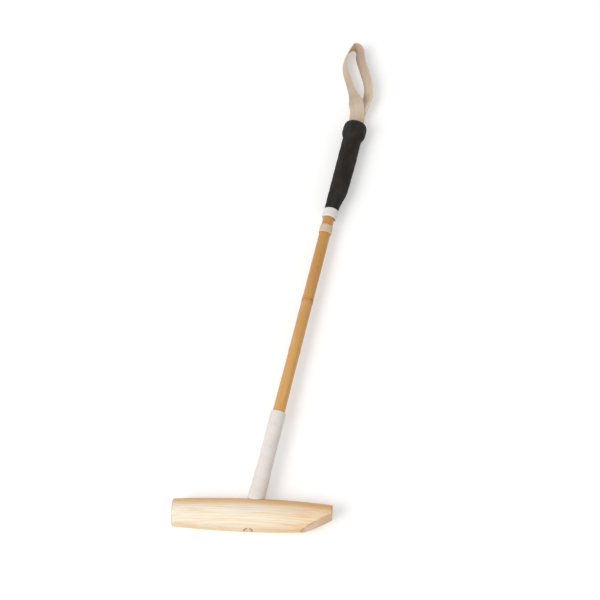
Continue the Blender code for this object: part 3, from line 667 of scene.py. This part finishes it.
def rattan():
    material, point = newMaterial("rattanSkin", handlePlace, Specular_IOR_Level=0.45, Coat_Weight=0.2,
                                  Coat_Roughness=0.22)
    x, y = point.parts()[:2]
    strands = point.noise((620, 7, 620), 4.0, 0.6)
    fine = point.noise((1900, 26, 1900), 3.0, 0.55)
    clouds = point.noise((60, 18, 60), 3.0, 0.55)
    flecks = point.noise((900, 160, 900), 1.0)
    tone = mixed(y.ranged(0.12, 0.47), colour(227, 173, 101), colour(200, 145, 74))
    tone = mixed(strands.ranged(0.40, 0.70, 0.0, 0.6), tone, colour(190, 132, 66))
    tone = mixed(fine.ranged(0.55, 0.75, 0.0, 0.45), tone, colour(164, 108, 52))
    tone = mixed(clouds.ranged(0.50, 0.75, 0.0, 0.4), tone, colour(232, 184, 114))
    tone = mixed(flecks.ranged(0.70, 0.78, 0.0, 0.55), tone, colour(120, 74, 36))

    # Scars of the growth rings, broken and faint along the top
    wobbly = y + point.noise((90, 30, 90)) * 0.004
    broken = point.noise((170, 20, 170), 1.0).ranged(0.42, 0.58, 0.25, 1.0)
    broken *= x.size().ranged(0.0015, 0.0060, 0.25, 1.0)
    scars = None
    for ring, stain in zip(cane["rings"], cane["ringStains"]):
        offset = (wobbly - (ring + cane["scarPast"])).size()
        scar = offset.ranged(0.0014, 0.0004, 0.0, stain) * broken
        scars = scar if scars is None else scars.calc("MAXIMUM", scar)
        tone = mixed(offset.ranged(0.008, 0.001, 0.0, stain / 2), tone, colour(178, 112, 58))
    tone = mixed(scars, tone, colour(112, 64, 34))
    byBand = (y - tapes["bandHigh"]).size().ranged(0.0035, 0.0005, 0.0, 0.5)
    tone = mixed(byBand, tone, colour(200, 116, 72))

    # Sawn end in the sole, darker at its rim: painted shade of the gap round the tenon
    fromAxis = point.vector("MULTIPLY", (1, 0, 1)).vector("LENGTH", output="Value")
    rim = fromAxis.ranged(tenon["soleRadius"] - 0.0036, tenon["soleRadius"] - 0.0009)
    endTone = mixed(rim, colour(228, 200, 164), colour(176, 134, 92))
    endTone = mixed(flecks.ranged(0.5, 0.7, 0.0, 0.4), endTone, colour(170, 132, 92))
    sawn = y.ranged(tenon["endGrainAbove"], tenon["endGrainAbove"] - 0.001)
    tone = mixed(sawn, tone, endTone)
    return dress(material, fine * 0.4 - scars * 1.2, 0.00012, 0.7, Base_Color=tone,
                 Roughness=strands.ranged(0.3, 0.7, 0.28, 0.44))


def makeCane():
    stations = evenly(-belly / 2, belly, 6) + evenly(belly, belly + cane["neckSwell"], 10)[1:]
    stations += evenly(belly + cane["neckSwell"], cane["end"], 190)[1:]
    sole = tenon["soleRadius"]
    profile = [(radius, -belly) for radius in (0.0, sole / 2, sole - 0.0004, sole)]
    profile += [(caneRadius(s), s) for s in stations] + [(0.0, cane["end"])]
    bm = turned(profile, cane["steps"])
    for vertex in bm.verts:
        x, station, z = vertex.co
        angle = math.atan2(z, x)
        if station <= -belly + 1e-6:
            vertex.co.y = barrelStation(x, z, -1)
        elif station > belly and math.hypot(x, z) > 0.001:
            # Rings run a little aslant, and the skin is faintly fluted
            slant = cane["ringSlant"] * math.cos(angle - 0.9)
            flute = cane["fluteDepth"] * math.sin(cane["flutes"] * angle + 2 * math.sin(station * 31))
            radius = min(caneRadius(station + slant), caneRadius(station) + 0.0002) + flute
            vertex.co = (radius * math.cos(angle), station, radius * math.sin(angle))
    piece = finishPiece("rattanCane", bm, handlePlace, [rattan()])
    cutAway(piece, wedgeBlock("cutter", gap, 0.004))
    standIn(piece, "cane")


def wedgeBlock(name, grow, overhang, materials=()):
    # A tapered block from the sole into the tenon, thick at the sole
    low, high = -belly, tenon["wedgeDepth"] - belly
    bm = bmesh.new()
    bmesh.ops.create_cube(bm, size=2.0)
    bmesh.ops.subdivide_edges(bm, edges=bm.edges[:], cuts=7, use_grid_fill=True)
    for vertex in bm.verts:
        x, y, z = vertex.co
        share = (y + 1) / 2
        station = between(low, high + grow, share)
        if overhang and y < -0.999:
            station = low - overhang
        half = between(tenon["wedgeSole"], tenon["wedgeTip"], share) / 2 + grow
        reach = math.sqrt(tenonRadius(station) ** 2 - half ** 2) + overhang
        if not overhang and y < -0.999:
            station = barrelStation(x * half, z * reach, -1)
        vertex.co = (x * half, station, z * reach)
    return finishPiece(name, bm, handlePlace, materials)


def makeWedge():
    wood = paleWood("wedgeWood", handlePlace @ Matrix.Rotation(math.pi / 2, 4, "Z"), colour(248, 228, 196),
                    colour(236, 208, 170), colour(214, 178, 134), colour(232, 204, 172))
    piece = wedgeBlock("tenonWedge", 0.0, 0.0, [wood])
    standIn(piece, "head_wedge")


# Cloth tapes wound round the cane

def clothTape(name, pale, soiled, pitch, rough=0.85, edgeShare=0.45, stained=None):
    # Cotton tape wound in a helix, with a woven face and soiled edges. Stained gives two stations
    # between which a stain fades, and its colour.
    material, point = newMaterial(name, handlePlace, Roughness=rough, Specular_IOR_Level=0.25,
                                  Sheen_Weight=0.15, Sheen_Roughness=0.5)
    x, y, z = point.parts()
    turn = turnAround(x, z)
    climb = y / pitch + turn
    around = (turn * (2 * math.pi * tapes["threadsAround"])).calc("SINE")
    weave = around * (climb * (2 * math.pi * round(pitch / tapes["thread"]))).calc("SINE")
    fuzz = point.noise((1500, 1500, 1500), 3.0, 0.6)
    stains = point.noise((70, 45, 70), 4.0, 0.6)
    edge = (climb.calc("FRACT") - 0.5).size().ranged(0.44, 0.5)
    tone = mixed(stains.ranged(0.45, 0.78, 0.0, 0.5), pale, soiled)
    tone = mixed(weave.ranged(-1.0, 0.2, 0.22, 0.0), tone, soiled)
    tone = mixed(edge * edgeShare, tone, soiled)
    if stained:
        strong, faint, stain = stained
        tone = mixed(y.ranged(faint, strong, 0.0, 0.7), tone, stain)
    return dress(material, weave * 0.5 + fuzz * 0.5, 0.00009, 0.8, Base_Color=tone)


def windingRelief(station, angle, pitch, step):
    # A turn of tape thickens slowly over the one below it and ends in a sharp edge
    phase = (station / pitch + angle / (2 * math.pi)) % 1.0
    rise = smoothStep(phase, 0.0, 0.7)
    fall = smoothStep(phase, 0.965, 1.0)
    return step * (rise * (1 - fall))


def neckRadius(station):
    flare = 1 - smoothStep(station, belly, belly + tapes["neckFlare"])
    return between(tapes["neckTopRadius"], tapes["neckBottomRadius"], flare)


def makeNeckTape():
    top, thick = tapes["neckTop"], tapes["neckThickness"]
    inner = evenly(belly, top - tapes["neckLip"], 40)
    profile = [(neckRadius(s), s) for s in evenly(belly, top, 220)]
    profile += [(neckRadius(top) - 0.5 * thick, top + 0.00002), (caneRadius(top) + gap, top)]
    profile += [(caneRadius(inner[-1]) + gap, inner[-1])]
    profile += [(neckRadius(s) - thick, s) for s in reversed(inner)]
    bm = turned(profile, 96, closed=True)
    for vertex in bm.verts:
        x, station, z = vertex.co
        radius = math.hypot(x, z)
        scale = 1.0
        if radius > neckRadius(station) - 1e-6:
            relief = windingRelief(station, math.atan2(x, z), tapes["neckPitch"], tapes["neckStep"])
            relief *= smoothStep(station, top, top - 0.001)
            relief += tapes["neckLumps"] * noise.noise(Vector((x, station, z)) * 90)
            relief -= tapes["neckEdgeRound"] * (1 - smoothStep(station, top, top - 0.0009))
            scale = (radius + relief) / radius
        low = barrelStation(x, z, 1, shoulderGap)
        rise = 1 - smoothStep(station, belly, belly + tapes["neckFoot"])
        vertex.co = (x * scale, station + (low - belly) * rise, z * scale)
    cloth = clothTape("neckCloth", colour(242, 235, 228), colour(225, 215, 202), tapes["neckPitch"],
                      edgeShare=0.3)
    piece = finishPiece("neckTapeWinding", bm, handlePlace, [cloth])
    standIn(piece, "neck_tape")


def makeUpperBand():
    low, high = tapes["bandHigh"] - tapes["bandWidth"], tapes["bandHigh"]
    thick, edge = tapes["bandThickness"], tapes["bandEdgeRound"]
    profile = [(caneRadius(s) + gap, s) for s in (high, low)]
    profile += [(caneRadius(low) + gap + thick - edge, low)]
    profile += [(caneRadius(s) + gap + thick, s) for s in evenly(low + edge, high - edge, 24)]
    profile += [(caneRadius(high) + gap + thick - edge, high)]
    bm = turned(profile, 96, closed=True)
    for vertex in bm.verts:
        x, station, z = vertex.co
        radius = math.hypot(x, z)
        if radius > caneRadius(station) + gap + thick * 0.5:
            # The loose end of the tape makes one small step
            turn = (math.atan2(z, x) / (2 * math.pi) + tapes["bandEndTurn"]) % 1.0
            step = smoothStep(turn, 0.0, 0.9) * (1 - smoothStep(turn, 0.975, 1.0))
            scale = 1 + tapes["bandStep"] * step / radius
            vertex.co = (x * scale, station, z * scale)
    cloth = clothTape("bandCloth", colour(223, 198, 174), colour(201, 167, 132), tapes["bandPitch"],
                      rough=0.7, stained=(low, low + 0.0045, colour(232, 204, 148)))
    piece = finishPiece("upperBandWinding", bm, handlePlace, [cloth])
    standIn(piece, "upper_tape_band")


# Handle: a cheek beside the cane, bound and wrapped over, and a knob at the butt

handle = {
    "buttTop": 0.6865,
    "tailLow": 0.546,  # where the webbing's tails start
    "knobLow": 0.6555,
    "funnelHigh": 0.6805,  # where the tails have come together
    "squareness": 2.3,  # of the bound handle's section, 2 for an oval
    "coreMargin": 0.0001,
    "cheekFrom": 0.004,  # past the wrap's lower edge
    "bindingThickness": 0.0006,  # under the wrap
    "whiteThickness": 0.0022,  # where the binding shows
    "wrapThickness": 0.0012,
    "wrapEdge": 0.0007,  # thickness of the wrap's lower edge
    "wrapTaper": 0.004,
    "wrapPitch": 0.021,
    "wrapStep": 0.0003,
    "wrapLumps": 0.00012,
    "knobTightens": 0.0001,  # how much closer the wrap is drawn over the knob
    "knobRadius": 0.0195,
    "knobShoulder": 0.0130,
    "knobTopRadius": 0.0160,
    "knobTopRound": 0.0095,
    "knobSkin": 0.0011,
    "capRadius": 0.0140,
    "capEdgeRound": 0.0003,
    "cordPitch": 0.0016,  # of the neck's underlay
}

# Reach of the cheek from the cane's axis, by the distance past the wrap's lower edge
cheekOutline = (
    (-0.010, 0.0099), (0.004, 0.0099), (0.010, 0.0104), (0.020, 0.0126), (0.030, 0.0151),
    (0.039, 0.0164), (0.060, 0.0171), (0.097, 0.0179), (0.117, 0.0177))

webbing = {
    "width": 0.0254,
    "thickness": 0.0017,
    "thread": 0.00085,
    "rib": 0.0019,  # length of a stitch of the weave
}


def coreSize(station):
    # Reach left and right of the cane's axis, half depth and squareness of what the tapes cover
    radius = caneRadius(station)
    right = curveThrough(cheekOutline, station - tapes["gripLow"])
    full = smoothStep(station, tapes["gripLow"] + handle["cheekFrom"], handle["tailLow"] + gap)
    depth = radius + gap + webbing["thickness"] * full
    return radius + handle["coreMargin"], right, depth, between(2.0, handle["squareness"], full)


def signedPower(value, power):
    return math.copysign(abs(value) ** power, value)


def ovalPoint(angle, halfWidth, halfDepth, squareness, middle):
    x = middle + halfWidth * signedPower(math.cos(angle), 2 / squareness)
    return x, halfDepth * signedPower(math.sin(angle), 2 / squareness)


def handlePoint(station, angle, growth, depth):
    # Growth is over the core along the handle, depth is under the outside of the knob
    left, right, halfDepth, squareness = coreSize(station)
    share = smoothStep(station, handle["knobLow"], handle["knobLow"] + handle["knobShoulder"])
    radius = handle["knobRadius"] - depth
    top = handle["buttTop"] - depth
    rounding = handle["knobTopRound"] - depth
    past = max(station - (top - rounding), 0.0) / rounding
    narrow = radius - handle["knobTopRadius"]
    radius -= narrow * (1 - math.sqrt(max(1 - min(past, 1.0) ** 2, 0.0)))
    x, z = ovalPoint(angle, between((left + right) / 2 + growth, radius, share),
                     between(halfDepth + growth, radius, share), between(squareness, 2.0, share),
                     between((right - left) / 2, layout["knobOffset"], share))
    return x, station, z


def makeSleeve(profile, steps, shape):
    # Each row of the profile becomes a ring, and shape puts the ring's points round the handle
    bm = turned([(1 + row, 0) for row in range(len(profile))], steps, closed=True)
    for vertex in bm.verts:
        x, z = vertex.co.x, vertex.co.z
        vertex.co = shape(math.atan2(z, x), *profile[round(math.hypot(x, z)) - 1])
    return bm


def makeHandleBinding():
    low, step, high = tapes["whiteLow"], tapes["gripLow"] - gap, cane["end"] - gap
    thick, thin = gap + handle["whiteThickness"], gap + handle["bindingThickness"]
    profile = [(gap, low), (thin, low), (thick - 0.0004, low + 0.0002), (thick, low + 0.0006)]
    profile += [(thick, s) for s in evenly(low + 0.0010, step - 0.0004, 26)]
    profile += [(thick - 0.0003, step), (thin, step + 0.00001)]
    profile += [(thin, s) for s in evenly(step + 0.002, high, 40)]
    profile += [(gap, s) for s in evenly(high, low, 40)[:-1]]

    def shape(angle, growth, station):
        if growth == thick:
            growth += windingRelief(station, math.pi / 2 - angle, tapes["whitePitch"], tapes["whiteStep"])
            growth -= tapes["whiteStep"] / 2
        left, right, depth, squareness = coreSize(station)
        x, z = ovalPoint(angle, (left + right) / 2 + growth, depth + growth, squareness,
                         (right - left) / 2)
        return x, station, z

    cloth = clothTape("whiteCotton", colour(239, 238, 236), colour(218, 208, 202), tapes["whitePitch"])
    piece = finishPiece("whiteBinding", makeSleeve(profile, 96, shape), handlePlace, [cloth])
    standIn(piece, "handle_binding")


def blackGripTape():
    material, point = newMaterial("gripTape", handlePlace, Specular_IOR_Level=0.2)
    x, y, z = point.parts()
    phase = (y / handle["wrapPitch"] + turnAround(x, z)).calc("FRACT")
    edge = (phase - 0.5).size().ranged(0.455, 0.5)
    grain = point.noise((1700, 1700, 1700), 3.0, 0.6)
    pebblePlace = point.vector("MULTIPLY", (1500, 1500, 1500))
    pebbles = point.feed("ShaderNodeTexVoronoi", {"Vector": pebblePlace, "Scale": 1.0}, "Distance")
    wear = point.noise((75, 30, 75), 4.0, 0.6)
    dust = point.noise((420, 420, 420), 4.0, 0.65)
    tone = mixed(wear.ranged(0.35, 0.70), colour(32, 27, 24), colour(43, 37, 33))
    tone = mixed(dust.ranged(0.55, 0.80, 0.0, 0.5), tone, colour(62, 55, 51))
    tone = mixed(edge * 0.4, tone, colour(24, 21, 20))
    return dress(material, grain * 0.5 - pebbles * 0.6, 0.00018, 0.8, Base_Color=tone,
                 Roughness=wear.ranged(0.3, 0.7, 0.80, 0.62))


def makeGripWrap():
    base = gap + handle["bindingThickness"] + gap
    low, knobLow, top = tapes["gripLow"], handle["knobLow"], handle["buttTop"]
    thin, full = base + handle["wrapEdge"], base + handle["wrapThickness"]
    lip = handle["capRadius"] + gap
    rounding = handle["knobTopRound"]
    roundFrom = top - rounding
    taperEnd = low + handle["wrapTaper"]
    # Rows of growth and station, with the radius of a ring too on the flat butt
    profile = [(base, low), (thin - 0.0002, low), (thin, low + 0.0002)]
    profile += [(between(thin, full, smoothStep(s, low, taperEnd)), s)
                for s in evenly(low + 0.0008, knobLow, 190)]
    profile += [(full, s) for s in evenly(knobLow, roundFrom, 36)[1:]]
    profile += [(full, roundFrom + rounding * math.sin(math.radians(d))) for d in range(6, 91, 6)]
    profile += [(full, top, between(handle["knobTopRadius"], lip, k / 4)) for k in (1, 2, 3)]
    profile += [(full, top, lip), (full, top - handle["knobSkin"], lip)]
    profile += [(base, s) for s in evenly(top - handle["knobSkin"] - 0.0001, low, 60)[:-1]]

    def shape(angle, growth, station, ringRadius=None):
        if ringRadius:
            x, z = ringRadius * math.cos(angle), ringRadius * math.sin(angle)
            return layout["knobOffset"] + x, station, z
        if growth == base:
            return handlePoint(station, angle, growth, handle["knobSkin"])
        fade = 1 - 0.6 * smoothStep(station, knobLow, knobLow + 0.012)
        fade *= smoothStep(station, low, taperEnd) * smoothStep(station, top, top - 0.006)
        relief = windingRelief(station, math.pi / 2 - angle, handle["wrapPitch"], handle["wrapStep"])
        lumpPlace = Vector((math.cos(angle) * 2, station * 110, math.sin(angle) * 2))
        relief += handle["wrapLumps"] * (noise.noise(lumpPlace) - 1)
        relief = relief * fade - handle["knobTightens"] * smoothStep(station, knobLow, roundFrom)
        return handlePoint(station, angle, growth + relief, -relief)

    piece = finishPiece("gripTapeWinding", makeSleeve(profile, 112, shape), handlePlace, [blackGripTape()])
    standIn(piece, "grip_wrap")


def capRubber():
    material, point = newMaterial("capRubber", handlePlace, Specular_IOR_Level=0.4)
    grain = point.noise((2200, 2200, 2200), 3.0, 0.6)
    dust = point.noise((260, 260, 260), 4.0, 0.65)
    tone = mixed(dust.ranged(0.45, 0.75), colour(40, 37, 36), colour(66, 62, 60))
    return dress(material, grain, 0.0001, 0.6, Base_Color=tone, Roughness=dust.ranged(0.3, 0.7, 0.5, 0.7))


def makeButtCap():
    top, bottom = handle["buttTop"], handle["buttTop"] - handle["knobSkin"]
    radius, edge = handle["capRadius"], handle["capEdgeRound"]
    profile = [(0.0, bottom), (radius, bottom), (radius, top - edge)]
    for degrees in (30, 60, 90):
        angle = math.radians(degrees)
        profile.append((radius - edge * (1 - math.cos(angle)), top - edge * (1 - math.sin(angle))))
    profile += [(radius * share, top) for share in (0.93, 0.6, 0.3, 0.0)]
    bm = turned(profile, 96)
    bmesh.ops.translate(bm, verts=bm.verts, vec=(layout["knobOffset"], 0, 0))
    piece = finishPiece("buttCapDisc", bm, handlePlace, [capRubber()])
    slot = bmesh.new()
    bmesh.ops.create_cube(slot, size=1.0)
    width, height = webbing["width"] + 2 * gap, 2 * (webbing["thickness"] + gap / 2 + slotGap)
    bmesh.ops.scale(slot, verts=slot.verts, vec=(width, 0.02, height))
    bmesh.ops.translate(slot, verts=slot.verts, vec=(layout["knobOffset"], top, 0))
    cutAway(piece, finishPiece("cutter", slot, handlePlace, []))
    standIn(piece, "butt_cap")


# Sling: one length of cotton webbing whose two tails are nailed to the handle

sling = {
    "seam": 0.0172,  # where tails and loop meet, short of the fold hinge
    "loopAboveFloor": 0.0010,
    "dropsOver": 0.030,
    "lift": 0.0060,  # of the upper strand where it starts to turn over the lower one
    "squareWithin": 0.012,  # past the fold hinge, short of which the webbing keeps square to the stem
    "acrossSteps": 14,
    "bendBefore": 0.007,
    "bendAfter": 0.009,
}

# The loop's route, close to its solid's: distance past the fold hinge, way to the heel side of
# that hinge's middle, and turn of the webbing's width, 0 and 180 flat, 90 on edge
loopRoute = (
    (-0.0172, 0.0011, 0), (-0.0090, 0.0024, 1),
    (0.0030, 0.0041, 5), (0.0110, 0.0064, 22), (0.0180, 0.0092, 38), (0.0250, 0.0102, 49),
    (0.0370, 0.0083, 57), (0.0545, 0.0033, 62), (0.0765, -0.0080, 64), (0.0945, -0.0170, 62),
    (0.1055, -0.0210, 58), (0.1130, -0.0243, 69), (0.1174, -0.0296, 84), (0.1168, -0.0347, 94),
    (0.1113, -0.0386, 102), (0.1035, -0.0414, 105), (0.0910, -0.0426, 105), (0.0760, -0.0412, 104),
    (0.0610, -0.0356, 102), (0.0470, -0.0279, 104), (0.0285, -0.0186, 110), (0.0145, -0.0121, 126),
    (0.0085, -0.0090, 146), (0.0030, -0.0056, 162), (-0.0030, -0.0032, 173),
    (-0.0090, -0.0010, 178.5), (-0.0172, 0.0011, 180))


def stemMiddle(station):
    # The stem strays back towards the toe side on its way from the butt to the fold
    stray = smoothStep(station, handle["funnelHigh"], layout["foldHingeStation"])
    return layout["knobOffset"] - layout["stemStray"] * stray


def axisAboveFloor(station, x):
    return (handlePlace @ Vector((x, station, 0))).z


def loopCourse():
    # Middle of the webbing and its turn, in the handle's directions
    columns = [[(i, row[k]) for i, row in enumerate(loopRoute)] for k in range(3)]
    perSpan = 5
    spans = (len(loopRoute) - 1) * perSpan
    layer = (webbing["thickness"] + gap) / 2
    course = []
    for i in range(spans + 1):
        along, across, turn = [curveThrough(column, i / perSpan) for column in columns]
        turn = math.radians(turn)
        station = layout["foldHingeStation"] + along
        x = layout["knobOffset"] - layout["stemStray"] + across
        clear = sling["loopAboveFloor"] + webbing["width"] / 2 * math.sin(turn)
        clear += webbing["thickness"] / 2 * abs(math.cos(turn))
        hanging = clear - axisAboveFloor(station, x)
        root = -layer if i < spans / 2 else layer + sling["lift"] * math.sin(turn)
        height = between(root, hanging, smoothStep(along, 0.0, sling["dropsOver"]))
        course.append((Vector((x, station, height)), turn))
    return course


def strapAcross():
    # Shares of the width, closer together at the selvedges
    count = sling["acrossSteps"]
    return [-math.cos(math.pi * i / count) / 2 for i in range(count + 1)]


def crossSection(share):
    # Half thickness there: full in the middle and rounded at the selvedges
    return 0.5 * (1 - abs(2 * share) ** 14) ** 0.5


def sweepStrap(rows):
    # Each row gives the webbing's middle line there as one point per share of its width, and the
    # direction out of its face at each. A grid is wrapped across the face and back under it.
    shares = strapAcross()
    last = len(shares) - 1
    around = list(range(last + 1)) + list(reversed(range(last)))
    bm = bmesh.new()
    bmesh.ops.create_grid(bm, x_segments=len(around) - 1, y_segments=len(rows) - 1, size=1.0)
    bm.verts.ensure_lookup_table()
    layers = [bm.verts.layers.float.new(name) for name in ("along", "across", "inner")]
    walked = 0.0
    for k, (points, facings) in enumerate(rows):
        walked += (points[last // 2] - rows[max(k - 1, 0)][0][last // 2]).length
        for i, j in enumerate(around):
            vertex = bm.verts[k * len(around) + i]
            half = crossSection(shares[j]) * webbing["thickness"]
            vertex.co = points[j] + facings[j] * (half if i <= last else -half)
            marks = (walked, shares[j] * webbing["width"], 1.0 if i > last and j > 0 else 0.0)
            for layer, mark in zip(layers, marks):
                vertex[layer] = mark
    bmesh.ops.remove_doubles(bm, verts=bm.verts, dist=1e-7)
    bmesh.ops.holes_fill(bm, edges=[edge for edge in bm.edges if edge.is_boundary], sides=0)
    return bm


def loopRows():
    course = loopCourse()
    rows = []
    for i, (place, turn) in enumerate(course):
        before, after = course[max(i - 1, 0)][0], course[min(i + 1, len(course) - 1)][0]
        heading = after - before
        past = place.y - layout["foldHingeStation"]
        heading.x *= smoothStep(past, -sling["seam"], sling["squareWithin"])
        heading.z *= math.sin(turn) ** 2
        sideways = heading.cross(Vector((0, 0, 1))).normalized()
        width = sideways * math.cos(turn) + Vector((0, 0, math.sin(turn)))
        outward = heading.cross(width).normalized()
        rows.append(([place + width * share * webbing["width"] for share in strapAcross()],
                     [outward] * (sling["acrossSteps"] + 1)))
    return rows


def ovalWalk(distance, halfWidth, halfDepth, squareness):
    # The point at a distance round an oval from its top, and the way that the oval faces there
    x, z, walked, steps = 0.0, halfDepth, 0.0, 60
    for i in range(1, steps + 1):
        angle = math.pi / 2 * (1 - i / steps)
        nextX = halfWidth * max(math.cos(angle), 0.0) ** (2 / squareness)
        nextZ = halfDepth * max(math.sin(angle), 0.0) ** (2 / squareness)
        stride = math.hypot(nextX - x, nextZ - z)
        if walked + stride >= abs(distance):
            share = (abs(distance) - walked) / stride
            x, z = between(x, nextX, share), between(z, nextZ, share)
            break
        x, z, walked = nextX, nextZ, walked + stride
    facing = Vector(((x / halfWidth) ** (squareness - 1) / halfWidth,
                     (z / halfDepth) ** (squareness - 1) / halfDepth)).normalized()
    side = math.copysign(1.0, distance)
    return Vector((side * x, z)), Vector((side * facing.x, facing.y))


def tailRows(side):
    # Along the bound handle, through the butt and up to the seam in the stem
    stemEnd = layout["foldHingeStation"] - sling["seam"]
    stations = evenly(handle["tailLow"], cane["end"], 30)
    stations += evenly(cane["end"], handle["funnelHigh"], 10)[1:]
    stations += evenly(handle["funnelHigh"], stemEnd, 22)[1:]
    layer = (webbing["thickness"] + gap) / 2
    rows = []
    for station in stations:
        left, right, halfDepth, squareness = coreSize(min(station, cane["end"]))
        flat = smoothStep(station, cane["end"], handle["funnelHigh"])
        points, facings = [], []
        for share in strapAcross():
            across = share * webbing["width"]
            edge, facing = ovalWalk(across, (left + right) / 2, halfDepth, squareness)
            hugging = edge - facing * webbing["thickness"] / 2 + Vector(((right - left) / 2, 0.0))
            place = hugging.lerp(Vector((stemMiddle(station) + across, layer)), flat)
            facing = facing.lerp(Vector((0, 1)), flat).normalized()
            points.append(Vector((place.x, station, side * place.y)))
            facings.append(Vector((facing.x, 0, side * facing.y)))
        rows.append((points, facings))
    return rows


# Tint of the loop by the distance along it, from the lower layer round to the upper one: partly wear and
# fading, partly painted shade in the fold and painted light at the bight
loopWearAndShade = (
    (0.000, (247, 253, 255)), (0.033, (247, 253, 255)), (0.060, (247, 255, 255)), (0.090, (232, 234, 238)),
    (0.112, (226, 224, 225)), (0.128, (218, 216, 226)), (0.141, (222, 220, 224)), (0.152, (255, 255, 255)),
    (0.165, (252, 252, 252)),
    (0.192, (232, 232, 232)), (0.228, (216, 216, 214)), (0.263, (219, 218, 219)), (0.288, (240, 240, 240)))


def tintAlong(distance, stops):
    length = stops[-1][0]
    made = addNode(distance.socket.id_data, "ShaderNodeValToRGB", {"Fac": distance / length})
    elements = made.color_ramp.elements
    for element, (place, tint) in zip(elements, (stops[0], stops[-1])):
        element.position = place / length
        element.color = colour(*tint)
    for place, tint in stops[1:-1]:
        elements.new(place / length).color = colour(*tint)
    return Field(made.outputs["Color"])


def cottonWebbing(name, wear):
    material, point = newMaterial(name, Roughness=0.88, Specular_IOR_Level=0.2, Sheen_Weight=0.2,
                                  Sheen_Roughness=0.5)
    along, across, inner = [point.attribute(part) for part in ("along", "across", "inner")]
    lane = across / webbing["thread"]
    number = lane.calc("FLOOR")
    beat = along / webbing["rib"] + number.calc("FLOORED_MODULO", 2.0) * 0.5
    crown = (beat * math.pi).calc("SINE").size()
    inLane = lane.calc("FRACT") * 2.0 - 1.0
    roundness = (inLane * inLane) * -1.0 + 1.0
    weave = (crown * 0.7 + 0.3) * roundness
    fuzz = point.noise((1600, 1600, 1600), 3.0, 0.6)
    stains = point.noise((48, 48, 48), 4.0, 0.6)
    laneTone = number.feed("ShaderNodeTexWhiteNoise", {"W": number}, "Value", noise_dimensions="1D")
    tone = mixed(laneTone, colour(246, 224, 202), colour(234, 211, 187))
    tone = mixed(stains.ranged(0.42, 0.75, 0.0, 0.5), tone, colour(223, 193, 159))
    tone = mixed(weave.ranged(0.45, 0.05, 0.0, 0.4), tone, colour(195, 168, 138))
    # A little darker and oranger on the inner face: painted shade
    tone = mixed(inner * 0.06, tone, colour(235, 195, 159))
    half = webbing["width"] / 2
    selvedge = across.size().ranged(half - 0.0015, half - 0.0003, 0.0, 0.4)
    tone = mixed(selvedge, tone, colour(235, 216, 189))
    # The tint along the webbing is partly wear, partly painted shade and painted light
    tone = mixed(1.0, tone, tintAlong(along, wear), "MULTIPLY")
    return dress(material, weave + fuzz * 0.35, 0.00022, 0.8, Base_Color=tone)


def makeSling():
    tailTint = loopWearAndShade[-1][1]
    tailCotton = cottonWebbing("tailWebbing", ((0.0, tailTint), (handle["buttTop"], tailTint)))
    loopCotton = cottonWebbing("loopWebbing", loopWearAndShade)
    root = handlePlace @ Vector((layout["knobOffset"], layout["rootHingeStation"], 0))
    fold = handlePlace @ Vector((layout["knobOffset"] - layout["stemStray"], layout["foldHingeStation"], 0))
    along = handleTurn.col[1].xyz
    for name, side, nodes in (("slingTailFront", 1, ("sling_tail_front", "sling_stem")),
                              ("slingTailBack", -1, ("sling_tail_back", "sling_stem"))):
        piece = finishPiece(name, sweepStrap(tailRows(side)), handlePlace, [tailCotton], 60)
        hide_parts(*nodes)
        root - along * 0.002
        root + along * 0.005
        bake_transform(piece)
    loop = finishPiece("slingLoopWebbing", sweepStrap(loopRows()), handlePlace, [loopCotton], 60)
    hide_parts("sling_loop")
    fold - along * sling["bendBefore"]
    fold + along * sling["bendAfter"]
    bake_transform(loop)


# Pieces that only the construction shows keep their solids and get a finish

def plainTimber(name, tone, dark):
    material, point = newMaterial(name, handlePlace, Roughness=0.6)
    fibres = point.noise((500, 16, 500), 4.0, 0.6)
    pores = point.noise((1800, 80, 1800))
    made = mixed(fibres.ranged(0.35, 0.7), tone, dark)
    made = mixed(pores.ranged(0.6, 0.75, 0.0, 0.6), made, dimmed(dark, 0.5))
    return dress(material, fibres, 0.0002, 0.6, Base_Color=made)


def waxedCord():
    material, point = newMaterial("waxedCord", handlePlace, Roughness=0.7)
    x, y, z = point.parts()
    turns = y / handle["cordPitch"] + turnAround(x, z)
    ridge = (turns * math.pi).calc("SINE").size()
    fuzz = point.noise((1500, 1500, 1500), 3.0, 0.6)
    made = mixed(ridge.ranged(0.1, 0.7), colour(128, 112, 84), colour(204, 190, 160))
    made = mixed(fuzz.ranged(0.5, 0.8, 0.0, 0.5), made, colour(170, 150, 118))
    return dress(material, ridge, 0.0005, 0.8, Base_Color=made)


def brightSteel():
    material, point = newMaterial("nailSteel", Metallic=1.0)
    tarnish = point.noise((900, 900, 900), 4.0, 0.6)
    made = mixed(tarnish.ranged(0.4, 0.75), colour(196, 196, 200), colour(150, 142, 134))
    return dress(material, Base_Color=made, Roughness=tarnish.ranged(0.3, 0.7, 0.28, 0.5))


def finishHiddenNodes():
    steel = brightSteel()
    finishes = {
        "neck_binding": waxedCord(),
        "handle_cheek": plainTimber("cheekTimber", colour(178, 144, 102), colour(146, 110, 70)),
        "knob_core": plainTimber("knobTimber", colour(170, 136, 96), colour(136, 100, 64)),
    }
    for nodeName in frame["nodes"]:
        if nodeName.startswith(("cheek_brad", "sling_tack")):
            finishes[nodeName] = steel
    for nodeName, material in finishes.items():
        mesh = frame["nodes"][nodeName].data
        if not mesh.materials:
            mesh.materials.append(material)
        for slotNumber in range(len(mesh.materials)):
            mesh.materials[slotNumber] = material


placeCamera()
layFloor()
lightRoom()
print("camera, floor and light placed")
makeHead()
makeWedge()
print("head made")
makeCane()
print("cane made")
makeNeckTape()
makeUpperBand()
print("tapes wound")
makeHandleBinding()
makeGripWrap()
makeButtCap()
print("handle wrapped")
makeSling()
print("sling made")
finishHiddenNodes()
